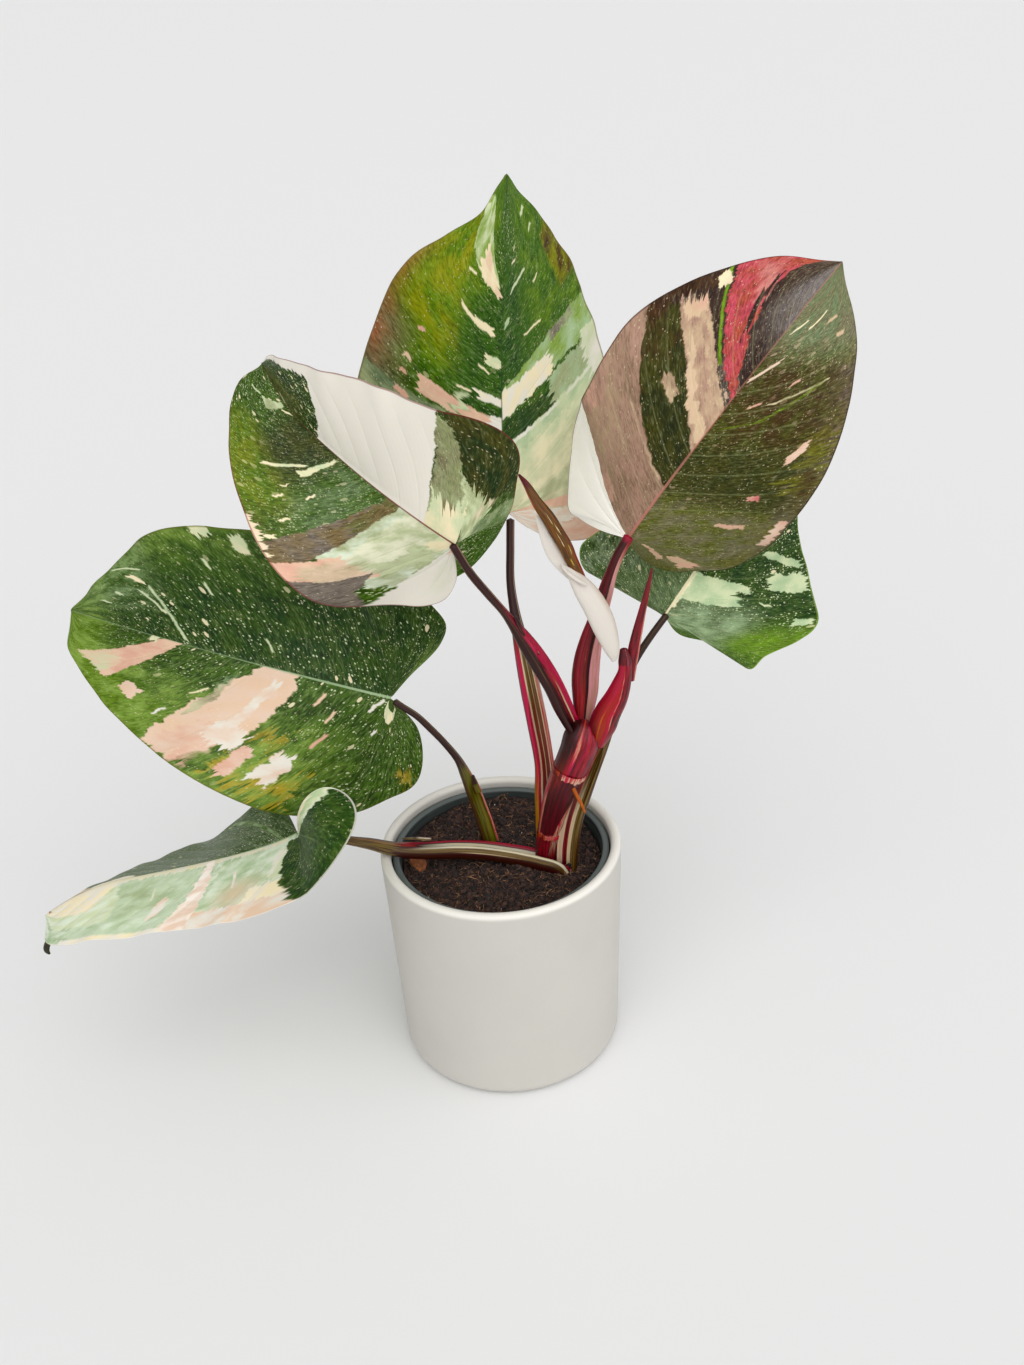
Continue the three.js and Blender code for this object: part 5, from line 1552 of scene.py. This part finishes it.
class PLANT_OT_stage(bpy.types.Operator):
    """Sets the floor, the soft light and the camera of the photograph"""
    bl_idname = "plant.stage"
    bl_label = "Stage"

    def execute(self, context):
        stage, colours = context.scene.plant_stage, context.scene.plant_colours
        context.scene.view_settings.view_transform = "Standard"
        camera = add_object("photo_camera", bpy.data.cameras.new("photo_camera"))
        camera.data.lens = stage.lens
        camera.data.sensor_fit = "VERTICAL"
        camera.data.sensor_height = 36
        camera.data.clip_start = 0.05
        turn = Matrix([Vector(axis) for axis in CAMERA_AXES]).transposed().to_4x4()
        camera.matrix_world = Matrix.Translation(CAMERA_PLACE) @ turn
        context.scene.camera = camera

        material, w, shader = new_material("studio_floor", 0.9)
        cloud = w.noise(object_place(w), 1.5, 2.0)
        w.put(shader.inputs["Base Color"], w.blend(
            w.product(cloud, 0.04), tuple(colours.floor), scaled(colours.floor, 0.9)))
        disc = bmesh.new()
        bmesh.ops.create_circle(disc, cap_ends=True, segments=96, radius=FLOOR_RADIUS)
        mesh = bpy.data.meshes.new("studio_floor")
        disc.to_mesh(mesh)
        disc.free()
        mesh.materials.append(material)
        mesh.transform(Matrix.Translation((0, 0, -FLOOR_DROP)))
        add_object("studio_floor", mesh)

        world = bpy.data.worlds.new("studio")
        world.use_nodes = True
        context.scene.world = world
        w = Wiring(world.node_tree)
        sky = world.node_tree.nodes["Background"]
        sky.inputs["Color"].default_value = (*paint(233, 233, 233), 1)
        way = w.split(w.add("ShaderNodeTexCoord").outputs["Generated"])
        w.put(sky.inputs["Strength"], w.total(
            stage.sky, w.product(way["X"], 0.3 * stage.sky), w.product(way["Y"], -0.36 * stage.sky)))

        for name, strength, angle, aim in (
                ("key_light", stage.key_strength, 80, (0.02, 0.76, -0.64)),
                ("side_light", stage.side_strength, 40, (-0.95, 0.25, -0.25))):
            lamp = add_object(name, bpy.data.lights.new(name, "SUN"))
            lamp.data.energy, lamp.data.angle = strength, math.radians(angle)
            turned = Vector(aim).to_track_quat("-Z", "Y").to_matrix().to_4x4()
            lamp.matrix_world = Matrix.Translation(-1.8 * Vector(aim)) @ turned
        return {"FINISHED"}


class PLANT_OT_cover_pot(bpy.types.Operator):
    """Turns the glazed cover pot"""
    bl_idname = "plant.cover_pot"
    bl_label = "Cover Pot"

    def execute(self, context):
        base, rim, height, floor = (COVER[key] for key in ("base", "rim", "height", "floor"))
        foot, lip, inside = (COVER[key] for key in ("foot_round", "lip_round", "inside_round"))
        inner = base - COVER["wall"] - 1
        profile = [(0, 1.2), (base - 14, 1.2), (base - 13, 0.4), (base - 12, 0)]
        profile += arc(base - foot, foot, foot, -90, 0, 16)
        low, high = np.array(profile[-1]), np.array((rim, height - lip))
        profile += [tuple(low + (high - low) * s) for s in np.linspace(0, 1, 14)[1:-1]]
        profile += arc(rim - lip, height - lip, lip, 0, 180, 22)
        profile += arc(inner - inside, floor + inside, inside, 0, -90, 8) + [(0, floor)]
        glaze = ceramic_material(context.scene.plant_colours.ceramic)
        piece = turned_piece(
            "cover_pot_glazed", profile, glaze, context.scene.plant_sizes.pot_sides, count=240)
        settle(piece, "ceramic", "cover_pot")
        return {"FINISHED"}


class PLANT_OT_nursery_pot(bpy.types.Operator):
    """Turns the plastic nursery pot with its rolled rim"""
    bl_idname = "plant.nursery_pot"
    bl_label = "Nursery Pot"

    def execute(self, context):
        foot, top, radius, base, wall = (
            NURSERY[key] for key in ("foot", "top", "top_radius", "base_radius", "wall"))
        lip, wall_top = radius + NURSERY["rim_width"], top - NURSERY["rim_depth"]
        profile = [(0, foot)] + arc(base - 1.5, foot + 1.5, 1.5, -90, 0, 6)
        profile += [(radius - 0.5, wall_top), (lip - 0.6, wall_top)]
        profile += arc(lip - 0.6, wall_top + 0.6, 0.6, -90, 0, 5) + arc(lip - 1.1, top - 1.1, 1.1, 0, 90, 8)
        profile += arc(radius - 0.5, top - 0.9, 0.9, 90, 180, 8)
        profile += [(radius - 1.5, top - 4), (radius - 2.1, top - 5), (radius - 2.2, top - 9)]
        profile += [(base - wall, foot + wall), (0, foot + wall)]
        plastic = plastic_material(context.scene.plant_colours.plastic)
        piece = turned_piece(
            "nursery_pot_moulded", profile, plastic, context.scene.plant_sizes.pot_sides, count=260)
        settle(piece, "nursery_plastic", "nursery_pot")
        return {"FINISHED"}


class PLANT_OT_soil(bpy.types.Operator):
    """Lays the peat, its crumbs, fibres and white grains, and the bark chip"""
    bl_idname = "plant.soil"
    bl_label = "Soil"

    def execute(self, context):
        sizes, colours = context.scene.plant_sizes, context.scene.plant_colours
        peat = earth_material("peat", scaled(colours.soil, 0.35), scaled(colours.soil, 3.4), 330.0)
        rings = soil_top()
        vertices, faces = soil_shape([[(x * 0.83, y * 0.83, SOIL["bottom"]) for x, y, _ in rings[0]]] + rings)
        vertices.append((0, 0, SOIL["bottom"]))
        faces += [((k + 1) % SOIL_SIDES, k, len(vertices) - 1) for k in range(SOIL_SIDES)]
        piece = face_outwards(mesh_object("soil_block", vertices, faces, [peat]), merge=True)
        settle(piece, "potting_soil", "soil")

        fibre = earth_material("peat_fibre", paint(56, 36, 26), paint(158, 116, 82), 250.0)
        grain = earth_material("white_grain", paint(176, 168, 156), paint(222, 218, 210), 400.0)
        crumbs, clods, fibres = (crumb_tree(name, shape) for name, shape in (
            ("Crumbs", lump(1)), ("Clods", lump(2)), ("Fibres", thin_fibre)))
        for number, (name, tree, finish, density, smallest, largest, rough, flat, tilt) in enumerate((
                ("soil_crumbs", crumbs, peat, sizes.crumbs, 0.35, 1.5, 1.0, 0.8, 1.0),
                ("soil_clods", clods, peat, sizes.crumbs * 0.1, 1.0, 2.9, 1.8, 0.7, 1.0),
                ("soil_fibres", fibres, fibre, sizes.fibres * 1.5, 1.6, 6.0, 2.4, 1.0, 0.16),
                ("soil_grains", crumbs, grain, sizes.grains, 0.3, 0.9, 0.7, 0.9, 1.0))):
            settle(scattered_piece(name, tree, {
                "Density": float(density), "Smallest": smallest * MM, "Largest": largest * MM,
                "Roughness": rough * MM, "Flatness": flat, "Lie Flat": tilt, "Seed": sizes.seed + number,
                "Finish": finish}), "potting_soil")

        chip = bmesh.new()
        bmesh.ops.create_icosphere(chip, subdivisions=4, radius=0.5)
        for vertex in chip.verts:
            place = vertex.co.copy()
            layer = 0.05 * math.sin(34 * place.z + 3 * place.x) + 0.12 * noise.noise(place * 5)
            place.z = math.copysign(abs(place.z) ** 0.7, place.z) * 0.8
            place *= 1 + layer
            vertex.co = Vector([a * b for a, b in zip(place, BARK["size"])]) * 0.98
        turn = Matrix.Rotation(math.radians(BARK["turn"]), 4, "Z")
        tilt = Matrix.Rotation(math.radians(BARK["tilt"]), 4, "X")
        chip.transform(Matrix.Scale(MM, 4) @ Matrix.Translation(BARK["at"]) @ turn @ tilt)
        mesh = bpy.data.meshes.new("bark_chip_rough")
        chip.to_mesh(mesh)
        chip.free()
        mesh.materials.append(earth_material("bark", scaled(colours.bark, 0.5), tuple(colours.bark), 420.0))
        settle(add_object("bark_chip_rough", mesh), "bark", "bark_chip")
        return {"FINISHED"}


class PLANT_OT_stem(bpy.types.Operator):
    """Grows the stem, the young sheath, the young leaf, the spear and the aerial root"""
    bl_idname = "plant.stem"
    bl_label = "Stem"

    def execute(self, context):
        sides = context.scene.plant_sizes.stalk_sides
        torn = skin_material("torn_skin", TORN_SKIN, seed=16)
        settle(join_pieces("stem_grown", [
            swept_piece("stem_grown", STEM, skin_material("stem_skin", STEM_SKIN, seed=11), sides),
            ragged_collar("stem_torn", STEM, torn, 0.658, 0.684, lift=0.6, jag=0.013, seed=5),
            ragged_collar("stem_scar", STEM, torn, 0.325, 0.345, lift=0.35, jag=0.006, seed=6)
        ]), "stem_skin", "stem")
        skin = skin_material("young_sheath_skin", YOUNG_SHEATH_SKIN, seed=12)
        piece = swept_piece("young_sheath_grown", YOUNG_SHEATH, skin, sides, 80)
        settle(piece, "sheath_skin", "young_sheath")
        skin = skin_material("spear_skin", SPEAR_SKIN, seed=13)
        settle(swept_piece("spear_grown", SPEAR, skin, sides, 60), "sheath_skin", "spear")
        skin = skin_material("aerial_root_skin", ("root_tan ember", []), seed=14.0, rough=0.7)
        settle(swept_piece("aerial_root_grown", AERIAL_ROOT, skin, 20, 40), "root_skin", "aerial_root")
        pale = skin_material("young_leaf_pale", SPOON_SKIN, seed=15)
        rolled = skin_material("young_leaf_rolled", ROLL_SKIN, seed=18)
        settle(join_pieces("young_leaf_grown", [
            swept_piece("leaf_spoon", LEAF_SPOON, pale, sides, 80),
            swept_piece("leaf_flap", LEAF_FLAP, pale, sides, 50),
            swept_piece("leaf_rim", LEAF_RIM, pale, 16, 24),
            swept_piece("leaf_roll", LEAF_ROLL, rolled, sides, 80)]), "young_leaf_skin", "young_leaf")
        return {"FINISHED"}


class PLANT_OT_stalks(bpy.types.Operator):
    """Sweeps the leaf stalks with their sheaths"""
    bl_idname = "plant.stalks"
    bl_label = "Leaf Stalks"

    def execute(self, context):
        sides = context.scene.plant_sizes.stalk_sides
        for number, (name, shape) in enumerate(STALKS.items()):
            skin = skin_material(f"{name}_skin", STALK_SKINS[name], seed=number)
            parts = [swept_piece(f"{name}_grown", shape, skin, sides)]
            if "spur" in shape:
                tip = dict(shape, sheath=0, depth=0.45)
                parts.append(swept_piece(f"{name}_tip", tip, skin, 20, 24, points=shape["spur"]))
            slot = "sheath_skin" if name == "petiole_right" else "petiole_skin"
            settle(join_pieces(f"{name}_grown", parts), slot, name)
        return {"FINISHED"}


class PLANT_OT_blades(bpy.types.Operator):
    """Grows the six variegated blades"""
    bl_idname = "plant.blades"
    bl_label = "Leaf Blades"

    def execute(self, context):
        for number, (name, blade) in enumerate(BLADES.items()):
            leaf = LEAVES[name]
            piece = blade_piece(f"blade_{name}_grown", blade, leaf, context.scene.plant_sizes, 20 + number)
            if name == "low":
                skin = skin_material("dry_tip_skin", DRY_SKIN, seed=19)
                piece = join_pieces(piece.name, [piece, swept_piece("dry_tip", DRY_TIP, skin, 20, 40)])
            settle(piece, leaf["slot"], f"blade_{name}")
        return {"FINISHED"}


class PLANT_PT_panel(bpy.types.Panel):
    """Lists the plant's pieces"""
    bl_idname = "PLANT_PT_panel"
    bl_label = "Potted Plant"
    bl_space_type = "VIEW_3D"
    bl_region_type = "UI"
    bl_category = "Potted Plant"

    def draw(self, context):
        for operator in STEPS:
            self.layout.operator(operator.bl_idname)


STEPS = (PLANT_OT_stage, PLANT_OT_cover_pot, PLANT_OT_nursery_pot, PLANT_OT_soil, PLANT_OT_stem,
         PLANT_OT_stalks, PLANT_OT_blades)
GROUPS = {"plant_sizes": PLANT_PG_sizes, "plant_colours": PLANT_PG_colours, "plant_stage": PLANT_PG_stage}
CLASSES = (*GROUPS.values(), *STEPS, PLANT_PT_panel)


def register():
    for each in CLASSES:
        bpy.utils.register_class(each)
    for name, group in GROUPS.items():
        setattr(bpy.types.Scene, name, bpy.props.PointerProperty(type=group))


def unregister():
    for name in GROUPS:
        delattr(bpy.types.Scene, name)
    for each in reversed(CLASSES):
        bpy.utils.unregister_class(each)


def main():
    register()
    bpy.ops.plant.stage()
    bpy.ops.plant.cover_pot()
    bpy.ops.plant.nursery_pot()
    bpy.ops.plant.soil()
    bpy.ops.plant.stem()
    bpy.ops.plant.stalks()
    bpy.ops.plant.blades()
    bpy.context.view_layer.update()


if __name__ == "__main__":
    main()
